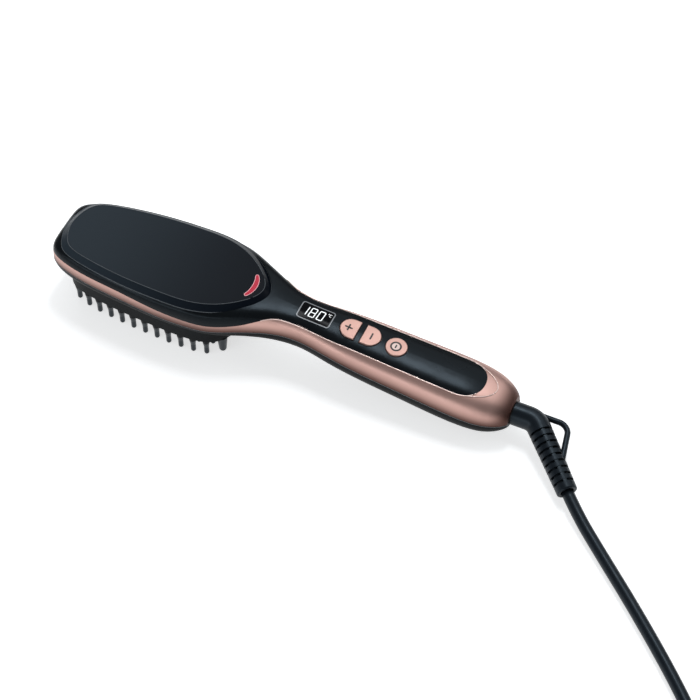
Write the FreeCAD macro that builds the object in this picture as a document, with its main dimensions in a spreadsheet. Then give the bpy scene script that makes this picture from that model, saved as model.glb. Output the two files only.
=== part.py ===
import FreeCAD, Part
import Sketcher
import math
import os
from types import SimpleNamespace

# Hair straightening brush in millimetres.
# X runs from the head tip to the cord, Z is up, and the brush lies on its bristle tips and its heel.
# The origin is under the middle of the brush, on the surface that it lies on.

Vector = FreeCAD.Vector
Rotation = FreeCAD.Rotation
Placement = FreeCAD.Placement

doc = FreeCAD.newDocument("hair_straightening_brush")

SIZES = (
    ("grip_length", 128.0, "grip from the neck to its end"),
    ("head_length", 108.0, "head tip to where the head narrows"),
    ("neck_length", 54.0, "narrowing part between head and grip"),
    ("head_width", 65.0, "widest part of the head"),
    ("neck_width", 29.2, "slimmest part of the neck"),
    ("grip_width", 39.2, "widest part of the grip"),
    ("head_waist_height", 32.0, "height at which the head is widest"),
    ("head_rim_height", 44.0, "crown of the rim round the cover"),
    ("head_floor_height", 20.5, "underside of the head without its plate"),
    ("grip_top_height", 39.8, "crown at the start of the grip"),
    ("grip_pitch", 4.48, "fall of the crown along the grip in degrees"),
    ("grip_waist_height", 28.0, "height at which the grip is widest at its start"),
    ("grip_belly_height", 14.3, "underside at the start of the grip"),
    ("heel_clearance", 0.4, "underside of the heel above the bristle tips"),
    ("wall", 2.0, "shell thickness"),
    ("deck_depth", 5.0, "rim crown to the underside of the deck under the cover"),
    ("deck_thickness", 1.5, "deck that carries the cover"),
    ("overrun", 5.0, "how far cutting shapes run past what they cut"),
    ("parting_drop", 2.8, "waist of the head down to the lower edge of the trim"),
    ("parting_dip", 1.3, "how far that edge dips at the wide end of the head"),
    ("trim_rise", 4.1, "waist of the head up to the upper edge of the trim"),
    ("trim_dip", 3.0, "how far that edge dips at the wide end of the head"),
    ("insert_depth", 2.1, "crown of the grip to the edge of its black top"),
    ("insert_setback", 13.0, "grip end to the end of the black top"),
    ("insert_rounding", 21.0, "length over which the black top closes"),
    ("roof_width", 20.4, "middle of the grip roof, all of it in the black top"),
    ("cover_setback", 3.0, "head tip to the cover"),
    ("cover_tail", 26.0, "cover to the start of the grip"),
    ("cover_rim", 2.2, "side of the head to the cover"),
    ("cover_rise", 1.0, "flat top of the cover over the rim"),
    ("cover_edge", 1.4, "upright edge of the cover"),
    ("cover_bevel", 3.7, "slope round the flat top, seen from above"),
    ("cover_gap", 0.15, "gap round the cover"),
    ("light_inset", 11.4, "end of the cover to the ends of the crescent light"),
    ("light_span", 17.0, "crescent across the head"),
    ("light_bulge", 3.5, "outer arc of the crescent"),
    ("light_hollow", 0.5, "inner arc of the crescent"),
    ("light_end_radius", 0.95, "rounded ends of the crescent"),
    ("light_gap", 0.05, "gap round the crescent"),
    ("lamp_radius", 1.5, "lamp under the crescent"),
    ("lamp_height", 5.0, "lamp with its collar"),
    ("lamp_collar", 0.5, "collar that stops the lamp in the deck"),
    ("display_inset", 3.8, "start of the grip to the middle of the display"),
    ("display_length", 19.7, "lens along the grip"),
    ("display_width", 11.0, "lens across the grip"),
    ("bezel_width", 0.6, "frame round the lens"),
    ("bezel_corner", 1.8, "rounded outer corners of that frame"),
    ("lens_depth", 1.5, "thickness of lens and frame"),
    ("display_gap", 0.2, "lens to display module"),
    ("module_margin", 0.6, "lens edge to module edge"),
    ("display_to_keys", 5.15, "frame of the display to the plus key"),
    ("key_gap", 3.3, "between the plus and minus keys"),
    ("key_straight", 4.1, "straight part of a D shaped key"),
    ("key_width", 13.7, "D shaped key across the grip"),
    ("keys_to_power", 3.4, "minus key to the power key"),
    ("power_radius", 6.5, "power key"),
    ("key_proud", 0.6, "key top above the crown"),
    ("key_clearance", 0.3, "gap round a key"),
    ("key_travel", 0.4, "stroke of a key"),
    ("key_rounding", 0.5, "rounded edge of a key top"),
    ("key_lip", 0.8, "retaining lip round a key"),
    ("key_lip_height", 0.9, "thickness of that lip"),
    ("key_lip_depth", 3.3, "crown to the top of that lip"),
    ("key_stem_radius", 1.6, "post under a key"),
    ("board_margin", 2.95, "display to the end of the board"),
    ("board_gap", 1.0, "board to the grip bosses"),
    ("board_width", 21.0, "control board across the grip"),
    ("board_thickness", 1.6, "control board"),
    ("board_depth", 11.0, "crown to the top of the board"),
    ("board_post_radius", 1.8, "posts that carry the board"),
    ("board_post_spacing", 16.6, "posts across the grip"),
    ("board_screw_radius", 0.9, "shank of a board screw"),
    ("board_screw_length", 5.0, "shank of a board screw"),
    ("board_screw_head", 1.7, "head radius of a board screw"),
    ("board_screw_head_height", 1.1, "head of a board screw"),
    ("switch_side", 6.0, "square body of a key switch"),
    ("switch_height", 3.5, "body of a key switch"),
    ("plunger_radius", 1.4, "plunger of a key switch"),
    ("plunger_rise", 0.9, "plunger above its switch"),
    ("plunger_depth", 1.2, "plunger inside its switch"),
    ("capacitor_radius", 4.0, "capacitor under the board"),
    ("capacitor_height", 9.0, "capacitor under the board"),
    ("driver_length", 10.0, "power switch under the board"),
    ("driver_width", 8.0, "power switch under the board"),
    ("driver_height", 4.5, "power switch under the board"),
    ("plate_setback", 8.5, "head tip to the bristle plate"),
    ("plate_tail", 39.5, "bristle plate to the start of the grip"),
    ("plate_rim", 2.9, "side of the head to the bristle plate"),
    ("plate_height", 14.0, "underside of the bristle plate"),
    ("plate_thickness", 2.2, "floor of the bristle plate"),
    ("bristle_rows", 12.0, "rows of bristles, a count"),
    ("first_row_inset", 8.5, "end of the plate to the first row"),
    ("last_row_inset", 16.95, "last row to the neck end of the plate"),
    ("bristle_pitch", 7.8, "between bristles of a row, about"),
    ("bristle_margin", 2.8, "plate edge to the outer bristles"),
    ("bristle_radius", 1.55, "bristle stem"),
    ("bristle_neck_radius", 2.1, "bristle where it meets its cone"),
    ("bristle_taper", 3.9, "tapered upper part of a bristle"),
    ("foot_radius", 2.6, "cone under a bristle, at the plate"),
    ("foot_height", 3.6, "cone under a bristle"),
    ("nub_radius", 2.3, "stout nub at the neck end, near its tip"),
    ("nub_foot_radius", 3.3, "stout nub at the plate"),
    ("nub_height", 13.0, "stout nub"),
    ("nub_inset", 9.0, "nubs to the neck end of the plate"),
    ("nub_margin", 3.6, "plate edge to the nubs"),
    ("tray_inset", 13.5, "end of the plate to the heater tray"),
    ("tray_tail", 22.5, "heater tray to the neck end of the plate"),
    ("tray_rim", 9.6, "side of the plate to the heater tray"),
    ("insulator_thickness", 0.4, "sheet under the heaters"),
    ("heater_count", 3.0, "ceramic heaters, a count"),
    ("heater_margin", 4.0, "end of the tray to the heaters"),
    ("heater_width", 16.0, "ceramic heater across the head"),
    ("heater_thickness", 2.4, "ceramic heater"),
    ("heater_gap", 2.0, "between heaters"),
    ("clamp_thickness", 0.8, "plate that presses on the heaters"),
    ("fuse_radius", 2.0, "thermal fuse"),
    ("fuse_length", 10.0, "thermal fuse"),
    ("sensor_radius", 1.2, "thermistor"),
    ("sensor_length", 5.0, "thermistor"),
    ("shield_lap", 2.5, "heat shield past the ends of the tray"),
    ("shield_side_lap", 4.0, "heat shield past the sides of the tray"),
    ("shield_thickness", 1.8, "heat shield above the floor"),
    ("shield_post_radius", 2.2, "posts that hold the heat shield down"),
    ("shield_post_inset", 7.0, "ends of the tray to the posts"),
    ("shield_post_side", 4.0, "sides of the tray to the posts"),
    ("ioniser_length", 26.0, "high voltage block along the head"),
    ("ioniser_width", 18.0, "high voltage block across the head"),
    ("ioniser_height", 11.0, "high voltage block"),
    ("plate_screw_inset", 7.5, "plate ends to the plate screws"),
    ("plate_screw_spacing", 18.0, "plate screws across the head"),
    ("screw_radius", 1.25, "shank of a housing screw"),
    ("screw_fit", 0.05, "screw in its pilot hole"),
    ("screw_clearance", 0.25, "screw in its clearance hole"),
    ("screw_head_radius", 2.6, "head of a housing screw"),
    ("screw_head_height", 1.8, "head of a housing screw"),
    ("screw_head_lift", 0.7, "plate screw heads above the floor"),
    ("plate_screw_length", 6.0, "shank of a plate screw"),
    ("boss_radius", 3.6, "screw bosses"),
    ("boss_grip", 6.0, "boss between screw head and joint"),
    ("boss_thread", 7.0, "screw in the upper boss"),
    ("neck_boss_inset", 32.0, "neck screws to the start of the grip"),
    ("neck_boss_spacing", 20.0, "neck screws across"),
    ("grip_boss_spacing", 13.0, "grip screws across"),
    ("grip_boss_height", 19.0, "joint of the grip bosses"),
    ("axis_height", 14.0, "cord swivel axis"),
    ("swivel_radius", 6.0, "rotating core"),
    ("swivel_fit", 0.1, "core in its bush"),
    ("swivel_gap", 0.4, "end play and side gaps of the swivel"),
    ("bush_radius", 9.4, "bush and contact block"),
    ("bush_start", 22.0, "grip end to the inner end of the bush"),
    ("bush_length", 13.0, "bush"),
    ("flange_radius", 8.2, "flange that keeps the core in"),
    ("flange_thickness", 3.0, "that flange"),
    ("block_length", 11.0, "contact block"),
    ("nose_radius", 3.4, "core inside the contact block"),
    ("ring_thickness", 1.0, "slip rings on the core"),
    ("ring_length", 2.6, "slip ring"),
    ("brush_length", 1.8, "contact brush along the axis"),
    ("brush_width", 2.4, "contact brush across the axis"),
    ("cradle_thickness", 3.0, "walls that carry bush and block"),
    ("wire_slot", 8.0, "gap for wires at the top of those walls"),
    ("sleeve_radius", 7.0, "strain relief where it leaves the grip"),
    ("sleeve_gap", 0.5, "grip end to strain relief"),
    ("sleeve_length", 8.5, "strain relief before its bend"),
    ("sleeve_bend", 11.0, "radius of that bend"),
    ("relief_neck_radius", 4.0, "strain relief inside the core"),
    ("relief_neck_length", 12.0, "strain relief inside the core"),
    ("relief_swing", 46.0, "bend towards the near side in degrees"),
    ("relief_dip", 8.0, "bend towards the surface in degrees"),
    ("relief_length", 42.0, "ribbed part"),
    ("relief_end_radius", 6.1, "ribbed part at the cord"),
    ("relief_core_radius", 4.7, "ribbed part between its ribs"),
    ("groove_count", 9.0, "gaps between ribs, a count"),
    ("groove_width", 1.5, "gap between ribs"),
    ("spine_width", 2.2, "bars that join the ribs"),
    ("loop_radius", 1.75, "bar of the hanging loop"),
    ("loop_reach", 18.5, "loop beyond the bend of the strain relief"),
    ("loop_offset", 4.5, "loop from the swivel axis"),
    ("loop_drop", 24.0, "loop down to the ribbed part"),
    ("loop_lean", 5.0, "loop end beyond its corner"),
    ("lead_radius", 0.8, "wires inside"),
    ("cord_diameter", 7.2, "mains lead"),
    ("cord_gap", 0.7, "strain relief to the lying cord"),
    ("cord_run", 16.0, "straight cord before a bend"),
    ("coil_centre_x", 377.0, "middle of the coil along X"),
    ("coil_centre_y", -145.0, "middle of the coil along Y"),
    ("coil_radius", 51.0, "outer turn of the coil, middle of the cord"),
    ("coil_pitch", 7.9, "from turn to turn"),
    ("coil_turns", 3.0, "turns in each of the two layers, a count"),
    ("coil_layer_gap", 0.6, "between the two layers"),
    ("coil_entry", 226.0, "angle at which the cord meets the coil, in degrees"),
    ("tie_thickness", 0.9, "strap round the coil"),
    ("tie_gap", 0.3, "strap to coil"),
    ("tie_width", 9.0, "strap along the cord"),
    ("plug_length", 33.0, "plug body"),
    ("plug_width", 35.3, "plug body"),
    ("plug_thickness", 13.7, "plug body"),
    ("plug_rounding", 4.0, "rounded corners of the plug"),
    ("plug_relief_length", 14.0, "cone between plug and cord"),
    ("plug_relief_radius", 5.8, "that cone at the plug"),
    ("pin_radius", 2.0, "plug pin"),
    ("pin_length", 19.0, "plug pin outside the body"),
    ("pin_seat", 6.0, "plug pin inside the body"),
    ("pin_seat_radius", 1.5, "plug pin inside the body"),
    ("pin_spacing", 18.6, "between the pins"),
)

# Sizes that follow from the ones above
FOLLOWING = (
    ("grip_start", "=head_length + neck_length", "head tip to the grip"),
    ("overall_length", "=grip_start + grip_length", "head tip to grip end"),
    ("cover_length", "=grip_start - cover_setback - cover_tail", "cover along the head"),
    ("cover_width", "=head_width - 2 * cover_rim", "cover across the head"),
    ("cover_height", "=head_rim_height + cover_rise", "flat top of the cover"),
    ("light_from_tip", "=cover_setback + cover_length - light_inset", "ends of the crescent light"),
    ("parting_height", "=head_waist_height - parting_drop", "lower edge of the trim on the head"),
    ("trim_height", "=head_waist_height + trim_rise", "upper edge of the trim on the head"),
    ("display_from_tip", "=grip_start + display_inset", "middle of the display"),
    ("display_end", "=display_from_tip + display_length / 2 + bezel_width", "frame of the display"),
    ("key_length", "=key_straight + key_width / 2", "D shaped key along the grip"),
    ("keys_from_tip", "=display_end + display_to_keys + key_length + key_gap / 2", "between the D shaped keys"),
    ("keys_end", "=keys_from_tip + key_gap / 2 + key_length", "end of the minus key"),
    ("power_from_tip", "=keys_end + keys_to_power + power_radius", "middle of the power key"),
    ("power_end", "=power_from_tip + power_radius + key_lip", "end of the power key's lip"),
    ("block_reach", "=bush_start + flange_thickness + 2 * swivel_gap + block_length", "swivel inside the grip"),
    ("grip_boss_from_tip", "=(power_end + overall_length - block_reach) / 2", "grip screws"),
    ("neck_boss_from_tip", "=grip_start - neck_boss_inset", "neck screws"),
    ("neck_boss_height", "=head_waist_height - wall", "joint of the neck bosses"),
    ("board_start", "=display_from_tip - display_length / 2 - board_margin", "end of the board under the display"),
    ("board_end", "=grip_boss_from_tip - boss_radius - board_gap", "other end of the board"),
    ("board_length", "=board_end - board_start", "control board along the grip"),
    ("board_from_tip", "=(board_start + board_end) / 2", "middle of the control board"),
    ("plate_length", "=grip_start - plate_setback - plate_tail", "bristle plate along the head"),
    ("plate_width", "=head_width - 2 * plate_rim", "bristle plate across the head"),
    ("first_row_from_tip", "=plate_setback + first_row_inset", "head tip to the first row"),
    ("row_span", "=plate_length - first_row_inset - last_row_inset", "first row to last row"),
    ("row_pitch", "=row_span / (bristle_rows - 1)", "between rows"),
    ("nub_from_tip", "=plate_setback + plate_length - nub_inset", "head tip to the nubs"),
    ("tray_from_tip", "=plate_setback + tray_inset", "start of the heater tray"),
    ("tray_length", "=plate_length - tray_inset - tray_tail", "heater tray along the head"),
    ("tray_width", "=plate_width - 2 * tray_rim", "heater tray across the head"),
    ("heater_span", "=tray_length - 2 * heater_margin", "heaters along the head"),
    ("heater_length", "=(heater_span - (heater_count - 1) * heater_gap) / heater_count", "ceramic heater along the head"),
    ("sensor_offset", "=(heater_width + tray_width) / 4", "fuse and thermistor from the middle of the head"),
    ("shield_length", "=tray_length + 2 * shield_lap", "heat shield along the head"),
    ("shield_width", "=tray_width + 2 * shield_side_lap", "heat shield across the head"),
    ("shield_post_spacing_long", "=tray_length - 2 * shield_post_inset", "shield posts along the head"),
    ("shield_post_spacing_wide", "=tray_width - 2 * shield_post_side", "shield posts across the head"),
)

sheet = doc.addObject("Spreadsheet::Sheet", "sizes")
for line, (alias, value, meaning) in enumerate(SIZES + FOLLOWING, start=1):
    sheet.set(f"A{line}", meaning)
    sheet.set(f"B{line}", str(value))
    sheet.setAlias(f"B{line}", alias)
doc.recompute()
size = SimpleNamespace(**{alias: float(sheet.get(alias)) for alias, value, meaning in SIZES + FOLLOWING})

# Shares that shape the shells: along, half width, rise over the waist, fall under the waist
HEAD_SHARES = (
    (0.000, 0.370, 0.500, 0.47),
    (0.009, 0.490, 0.660, 0.62),
    (0.028, 0.585, 0.800, 0.77),
    (0.065, 0.670, 0.900, 0.90),
    (0.130, 0.755, 0.965, 0.98),
    (0.260, 0.857, 1.000, 1.00),
    (0.460, 0.935, 1.000, 1.00),
    (0.720, 1.000, 1.000, 1.00),
    (0.900, 0.985, 1.000, 1.00),
)
# Along the neck: width left over from the head, change of the crown, change of the underside
NECK_SHARES = (
    (0.000, 0.89, 0.00, 0.00),
    (0.150, 0.74, 0.00, 0.00),
    (0.300, 0.54, 0.03, 0.03),
    (0.445, 0.35, 0.13, 0.15),
    (0.595, 0.18, 0.36, 0.34),
    (0.760, 0.05, 0.68, 0.60),
    (1.000, 0.00, 1.00, 1.00),
)
# Along the grip: half width, crown over the swivel axis, underside
GRIP_SHARES = (
    (0.125, 0.830, 1.000, 0.783),
    (0.266, 0.913, 1.000, 0.573),
    (0.500, 0.964, 1.000, 0.273),
    (0.720, 1.000, 1.000, 0.028),
    (0.828, 0.975, 0.980, 0.000),
    (0.906, 0.878, 0.913, 0.077),
    (0.961, 0.714, 0.793, 0.273),
    (0.989, 0.577, 0.655, 0.440),
    (1.000, 0.490, 0.560, 0.540),
)
HEAD_FULLNESS_SHARE = 0.94
CROWN_FULLNESS_SHARE = 0.72
BELLY_FULLNESS_SHARE = 0.64
# Half outlines seen from above: along, half width
COVER_SHARES = (
    (0.0000, 0.000),
    (0.0185, 0.400),
    (0.0490, 0.620),
    (0.1260, 0.777),
    (0.2420, 0.880),
    (0.3740, 0.955),
    (0.5750, 1.000),
    (0.7330, 0.960),
    (0.8490, 0.774),
    (0.9350, 0.490),
    (0.9820, 0.245),
    (1.0000, 0.000),
)
PLATE_SHARES = (
    (0.000, 0.00),
    (0.020, 0.45),
    (0.050, 0.66),
    (0.100, 0.77),
    (0.200, 0.86),
    (0.400, 0.945),
    (0.660, 1.00),
    (0.820, 0.97),
    (0.900, 0.86),
    (0.955, 0.62),
    (0.985, 0.33),
    (1.000, 0.00),
)
# Edges of the trim seen from the side, along the head and neck: along, dip or rise
PARTING_SHARES = ((0.00, 0.0), (0.37, 0.0), (0.66, 1.0), (0.86, 0.5))
TRIM_SHARES = ((0.00, 0.0), (0.34, 0.0), (0.52, 0.7), (0.64, 1.0), (0.73, 0.9), (0.79, 0.37))
TRIM_RISE_SHARES = ((0.84, 0.435), (0.872, 0.55), (0.90, 0.564), (0.94, 0.49))
# Black top of the grip before its end: along, depth under the crown
INSERT_SHARES = ((0.00, 1.2), (0.33, 1.0), (0.66, 1.0))
# End of the black top on the grip: along its rounding, depth under the crown
INSERT_END_SHARES = ((0.00, 1.00), (0.30, 0.95), (0.58, 0.62), (0.82, 0.22), (1.00, 0.00), (1.18, -0.5))
BEND_SHARE = 0.45
# Mains lead on the surface: across in shares of the overall length, height in shares of the cord diameter
LEAD_SHARES = (
    (0.7690, -0.2166, 0.521),
    (0.8690, -0.3041, 0.514),
    (0.9793, -0.4079, 0.514),
    (1.0586, -0.4931, 0.556),
)
TAIL_SHARES = (
    (1.3000, -0.2707, 1.333),
    (1.2448, -0.2310, 1.000),
    (1.1966, -0.2034, 1.000),
)
# How far the strap sits inside the middle of the turns, in shares of their pitch
STRAP_SHARE = 0.19

tip_x = -size.overall_length / 2
heel_x = size.overall_length / 2
deck_top = size.head_rim_height - size.deck_depth + size.deck_thickness
floor_top = size.head_floor_height + size.wall
pieces = []


def from_tip(distance):
    """X of a place given by its distance from the head tip."""
    return tip_x + distance


def crown_height(distance):
    """Height of the straight crown line of the grip."""
    return size.grip_top_height - math.tan(math.radians(size.grip_pitch)) * (distance - size.grip_start)


def grip_place(distance, across, depth):
    """Place on the grip, a depth under its crown, with Z square to the crown."""
    turn = Rotation(Vector(0, 1, 0), size.grip_pitch)
    crown = Vector(from_tip(distance), across, crown_height(distance))
    return Placement(crown + turn.multVec(Vector(0, 0, -depth)), turn)


def share_at(shares, along):
    """Second column of a table of shares, read between its rows."""
    for (low, first), (high, second) in zip(shares, shares[1:]):
        if low <= along <= high:
            return first + (second - first) * (along - low) / (high - low)
    return 0


def feature(name, shape):
    """Form that only Part's own functions can make."""
    made = doc.addObject("Part::Feature", name)
    made.Shape = shape
    return made


def primitive(kind, name, place, **formulas):
    """Part primitive with its sizes bound to the sheet."""
    made = doc.addObject(f"Part::{kind}", name)
    for field, formula in formulas.items():
        made.setExpression(field, formula)
    made.Placement = place
    return made


def box(name, place, length, width, height):
    """Box that stands centred on a place, with sizes given as formulas."""
    made = primitive("Box", name, place, Length=length, Width=width, Height=height)
    doc.recompute()
    corner = Vector(-made.Length.Value / 2, -made.Width.Value / 2, 0)
    made.Placement = place.multiply(Placement(corner, Rotation()))
    return made


def rounded(name, block, radius):
    """Box with its four upright edges rounded."""
    doc.recompute()
    upward = block.Placement.Rotation.multVec(Vector(0, 0, 1))
    made = doc.addObject("Part::Fillet", name)
    made.Base = block
    made.Edges = [
        (number, radius, radius)
        for number, edge in enumerate(block.Shape.Edges, start=1)
        if abs((edge.lastVertex().Point - edge.firstVertex().Point).normalize() * upward) > 1 / 2
    ]
    return made


def cylinder(name, place, radius, height):
    """Cylinder that stands on a place, with sizes given as formulas."""
    return primitive("Cylinder", name, place, Radius=radius, Height=height)


def cut(name, base, tool):
    made = doc.addObject("Part::Cut", name)
    made.Base = base
    made.Tool = tool
    return made


def common(name, base, tool):
    made = doc.addObject("Part::Common", name)
    made.Base = base
    made.Tool = tool
    return made


def fuse(name, shapes):
    made = doc.addObject("Part::MultiFuse", name)
    made.Shapes = shapes
    return made


def group(name, links):
    """Like pieces that share one node."""
    made = doc.addObject("Part::Compound", name)
    made.Links = links
    return made


def piece(label, made):
    """Finished sub-part under its own label."""
    made.Label = label
    pieces.append(made)
    return made


def upright(x, y, z):
    return Placement(Vector(x, y, z), Rotation())


def along_axis(distance_in, height=size.axis_height):
    """Place on the swivel axis, a distance inside the grip end, with Z along the cord."""
    return Placement(Vector(heel_x - distance_in, 0, height), Rotation(Vector(0, 1, 0), 90))


# Shell forms


def quarter(start, end, corner, fullness):
    """Quarter of a section between two points, as full towards its corner as asked."""
    curve = Part.BezierCurve()
    curve.setPoles([start, start + (corner - start) * fullness, end + (corner - end) * fullness, end])
    return curve.toShape()


def section(x, half, top, waist, bottom, top_fullness, bottom_fullness):
    far = Vector(x, half, waist)
    near = Vector(x, -half, waist)
    crown = Vector(x, 0, top)
    keel = Vector(x, 0, bottom)
    return Part.Wire(
        [
            quarter(far, crown, Vector(x, half, top), top_fullness),
            quarter(crown, near, Vector(x, -half, top), top_fullness),
            quarter(near, keel, Vector(x, -half, bottom), bottom_fullness),
            quarter(keel, far, Vector(x, half, bottom), bottom_fullness),
        ]
    )


def blend(first, second, share):
    return first + (second - first) * share


def shell_form(inset, roof):
    """Outer form of the brush, or its hollow when inset by a wall and under a roof."""
    shrink = 1 - 2 * inset / size.overall_length
    half_head = size.head_width / 2
    waist = size.head_waist_height
    sections = []

    def add(distance, half, top, middle, bottom, top_fullness, bottom_fullness):
        x = from_tip(distance) * shrink
        sections.append(section(x, half - inset, top, middle, bottom + inset, top_fullness, bottom_fullness))

    for along, width, rise, fall in HEAD_SHARES:
        top = waist + rise * (size.head_rim_height - waist) - roof
        bottom = waist - fall * (waist - size.head_floor_height)
        full = HEAD_FULLNESS_SHARE
        add(size.head_length * along, half_head * width, top, waist, bottom, full, full)
    for along, spread, drop, sink in NECK_SHARES:
        add(
            size.head_length + size.neck_length * along,
            blend(size.neck_width / 2, half_head, spread),
            blend(size.head_rim_height - roof, size.grip_top_height - inset, drop),
            blend(waist, size.grip_waist_height, sink),
            blend(size.head_floor_height, size.grip_belly_height, sink),
            blend(HEAD_FULLNESS_SHARE, CROWN_FULLNESS_SHARE, drop),
            blend(HEAD_FULLNESS_SHARE, BELLY_FULLNESS_SHARE, sink),
        )
    for along, width, crown, belly in GRIP_SHARES:
        distance = size.grip_start + size.grip_length * along
        add(
            distance,
            size.grip_width / 2 * width,
            blend(size.axis_height, crown_height(distance), crown) - inset,
            blend(size.grip_waist_height, size.axis_height, along),
            blend(size.heel_clearance, size.grip_belly_height, belly),
            CROWN_FULLNESS_SHARE,
            BELLY_FULLNESS_SHARE,
        )
    return Part.makeLoft(sections, True, False)


def curtain(points, level):
    """Space between an edge seen from the side and a level, right across the brush."""
    edge = Part.BSplineCurve()
    edge.interpolate(points)
    first, last = points[0], points[-1]
    corners = [last, Vector(last.x, 0, level), Vector(first.x, 0, level), first]
    face = Part.Face(Part.Wire([edge.toShape()] + Part.makePolygon(corners).Edges))
    width = size.head_width + 2 * size.overrun
    face.translate(Vector(0, -width / 2, 0))
    return face.extrude(Vector(0, width, 0))


def parting_points():
    points = [Vector(tip_x - size.overrun, 0, size.parting_height)]
    for along, dip in PARTING_SHARES:
        points.append(Vector(from_tip(size.grip_start * along), 0, size.parting_height - dip * size.parting_dip))
    points.append(Vector(from_tip(size.grip_start), 0, size.grip_waist_height))
    slope = (size.axis_height - size.grip_waist_height) / size.grip_length
    for share in (0.25, 0.5, 0.75, 1):
        distance = size.grip_length * share
        points.append(Vector(from_tip(size.grip_start + distance), 0, size.grip_waist_height + slope * distance))
    points.append(points[-1] + Vector(size.overrun, 0, size.overrun * slope))
    return points


def trim_points():
    points = [Vector(tip_x - size.overrun, 0, size.trim_height)]
    for along, dip in TRIM_SHARES:
        points.append(Vector(from_tip(size.grip_start * along), 0, size.trim_height - dip * size.trim_dip))
    trim_low = size.trim_height - size.trim_dip
    for along, rise in TRIM_RISE_SHARES:
        height = blend(trim_low, size.head_rim_height, rise)
        points.append(Vector(from_tip(size.grip_start * along), 0, height))
    insert_end = size.overall_length - size.insert_setback
    rounding_start = insert_end - size.insert_rounding
    for share, depth in INSERT_SHARES:
        distance = blend(size.grip_start, rounding_start, share)
        points.append(Vector(from_tip(distance), 0, crown_height(distance) - depth * size.insert_depth))
    for along, depth in INSERT_END_SHARES:
        distance = rounding_start + along * size.insert_rounding
        points.append(Vector(from_tip(distance), 0, crown_height(distance) - depth * size.insert_depth))
    rise = size.insert_depth * 2
    points.append(Vector(heel_x + size.overrun, 0, crown_height(size.overall_length) + rise))
    return points


def outline(shares, start, length, width, level):
    """Closed outline seen from above, mirrored from its half."""
    far = [Vector(from_tip(start + length * along), width / 2 * half, level) for along, half in shares]
    near = [Vector(point.x, -point.y, level) for point in far[-2:0:-1]]
    curve = Part.BSplineCurve()
    curve.interpolate(far + near, PeriodicFlag=True)
    return Part.Wire(curve.toShape())


outer_form = feature("outer_form", shell_form(0, 0))
hollow_form = feature("hollow_form", shell_form(size.wall, size.deck_depth))
below_parting = feature("below_parting", curtain(parting_points(), -size.overrun))
trim_ceiling = size.head_rim_height + size.overrun
over_seam = feature("over_seam", curtain(trim_points(), trim_ceiling))
roof_start = size.display_from_tip - size.display_length
roof_end = size.grip_boss_from_tip + 2 * size.boss_radius
roof_middle = (roof_start + roof_end) / 2
roof_room = box(
    "roof_room",
    grip_place(roof_middle, 0, size.key_lip_depth + size.overrun),
    "sizes.grip_boss_from_tip + 2 * sizes.boss_radius - sizes.display_from_tip + sizes.display_length",
    "sizes.roof_width",
    "sizes.key_lip_depth + 3 * sizes.overrun",
)
above_trim = fuse("above_trim", [over_seam, roof_room])

# Cradles for the cord swivel, split between lower housing and trim with the shells

block_start = size.block_reach
cradles = []
for number, middle in enumerate(
    (
        size.bush_start - size.cradle_thickness,
        size.bush_start - size.bush_length + size.cradle_thickness,
        block_start - size.block_length / 2,
    )
):
    wall_place = upright(heel_x - middle, 0, 0)
    slab = box(
        f"cradle_slab_{number}", wall_place, "sizes.cradle_thickness", "sizes.grip_width", "sizes.grip_top_height"
    )
    slot_place = upright(heel_x - middle, 0, size.axis_height)
    slot = box(
        f"wire_slot_{number}", slot_place, "2 * sizes.cradle_thickness", "sizes.wire_slot", "sizes.grip_top_height"
    )
    notched = cut(f"cradle_notched_{number}", slab, slot)
    cradles.append(common(f"cradle_{number}", notched, hollow_form))
empty_shell = cut("empty_shell", outer_form, hollow_form)
ribbed_shell = fuse("ribbed_shell", [empty_shell] + cradles)
swivel_space = cylinder(
    "swivel_space",
    along_axis(block_start),
    "sizes.bush_radius",
    "sizes.block_reach - sizes.bush_start + sizes.bush_length",
)
bored_shell = cut("bored_shell", ribbed_shell, swivel_space)
cord_hole = cylinder(
    "cord_hole", along_axis(size.bush_start), "sizes.swivel_radius + sizes.swivel_gap", "sizes.bush_start + sizes.overrun"
)
shell = cut("shell", bored_shell, cord_hole)

# Screw places: distance from the tip, across, joint height

neck_half = size.neck_boss_spacing / 2
grip_half = size.grip_boss_spacing / 2
BOSSES = (
    (size.neck_boss_from_tip, neck_half, size.neck_boss_height),
    (size.neck_boss_from_tip, -neck_half, size.neck_boss_height),
    (size.grip_boss_from_tip, grip_half, size.grip_boss_height),
    (size.grip_boss_from_tip, -grip_half, size.grip_boss_height),
)
PLATE_SCREWS = [
    (distance, side * size.plate_screw_spacing / 2)
    for distance in (
        size.plate_setback + size.plate_screw_inset,
        size.plate_setback + size.plate_length - size.plate_screw_inset,
    )
    for side in (1, -1)
]

# Lower housing with its bosses, heater opening and screw holes

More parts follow.
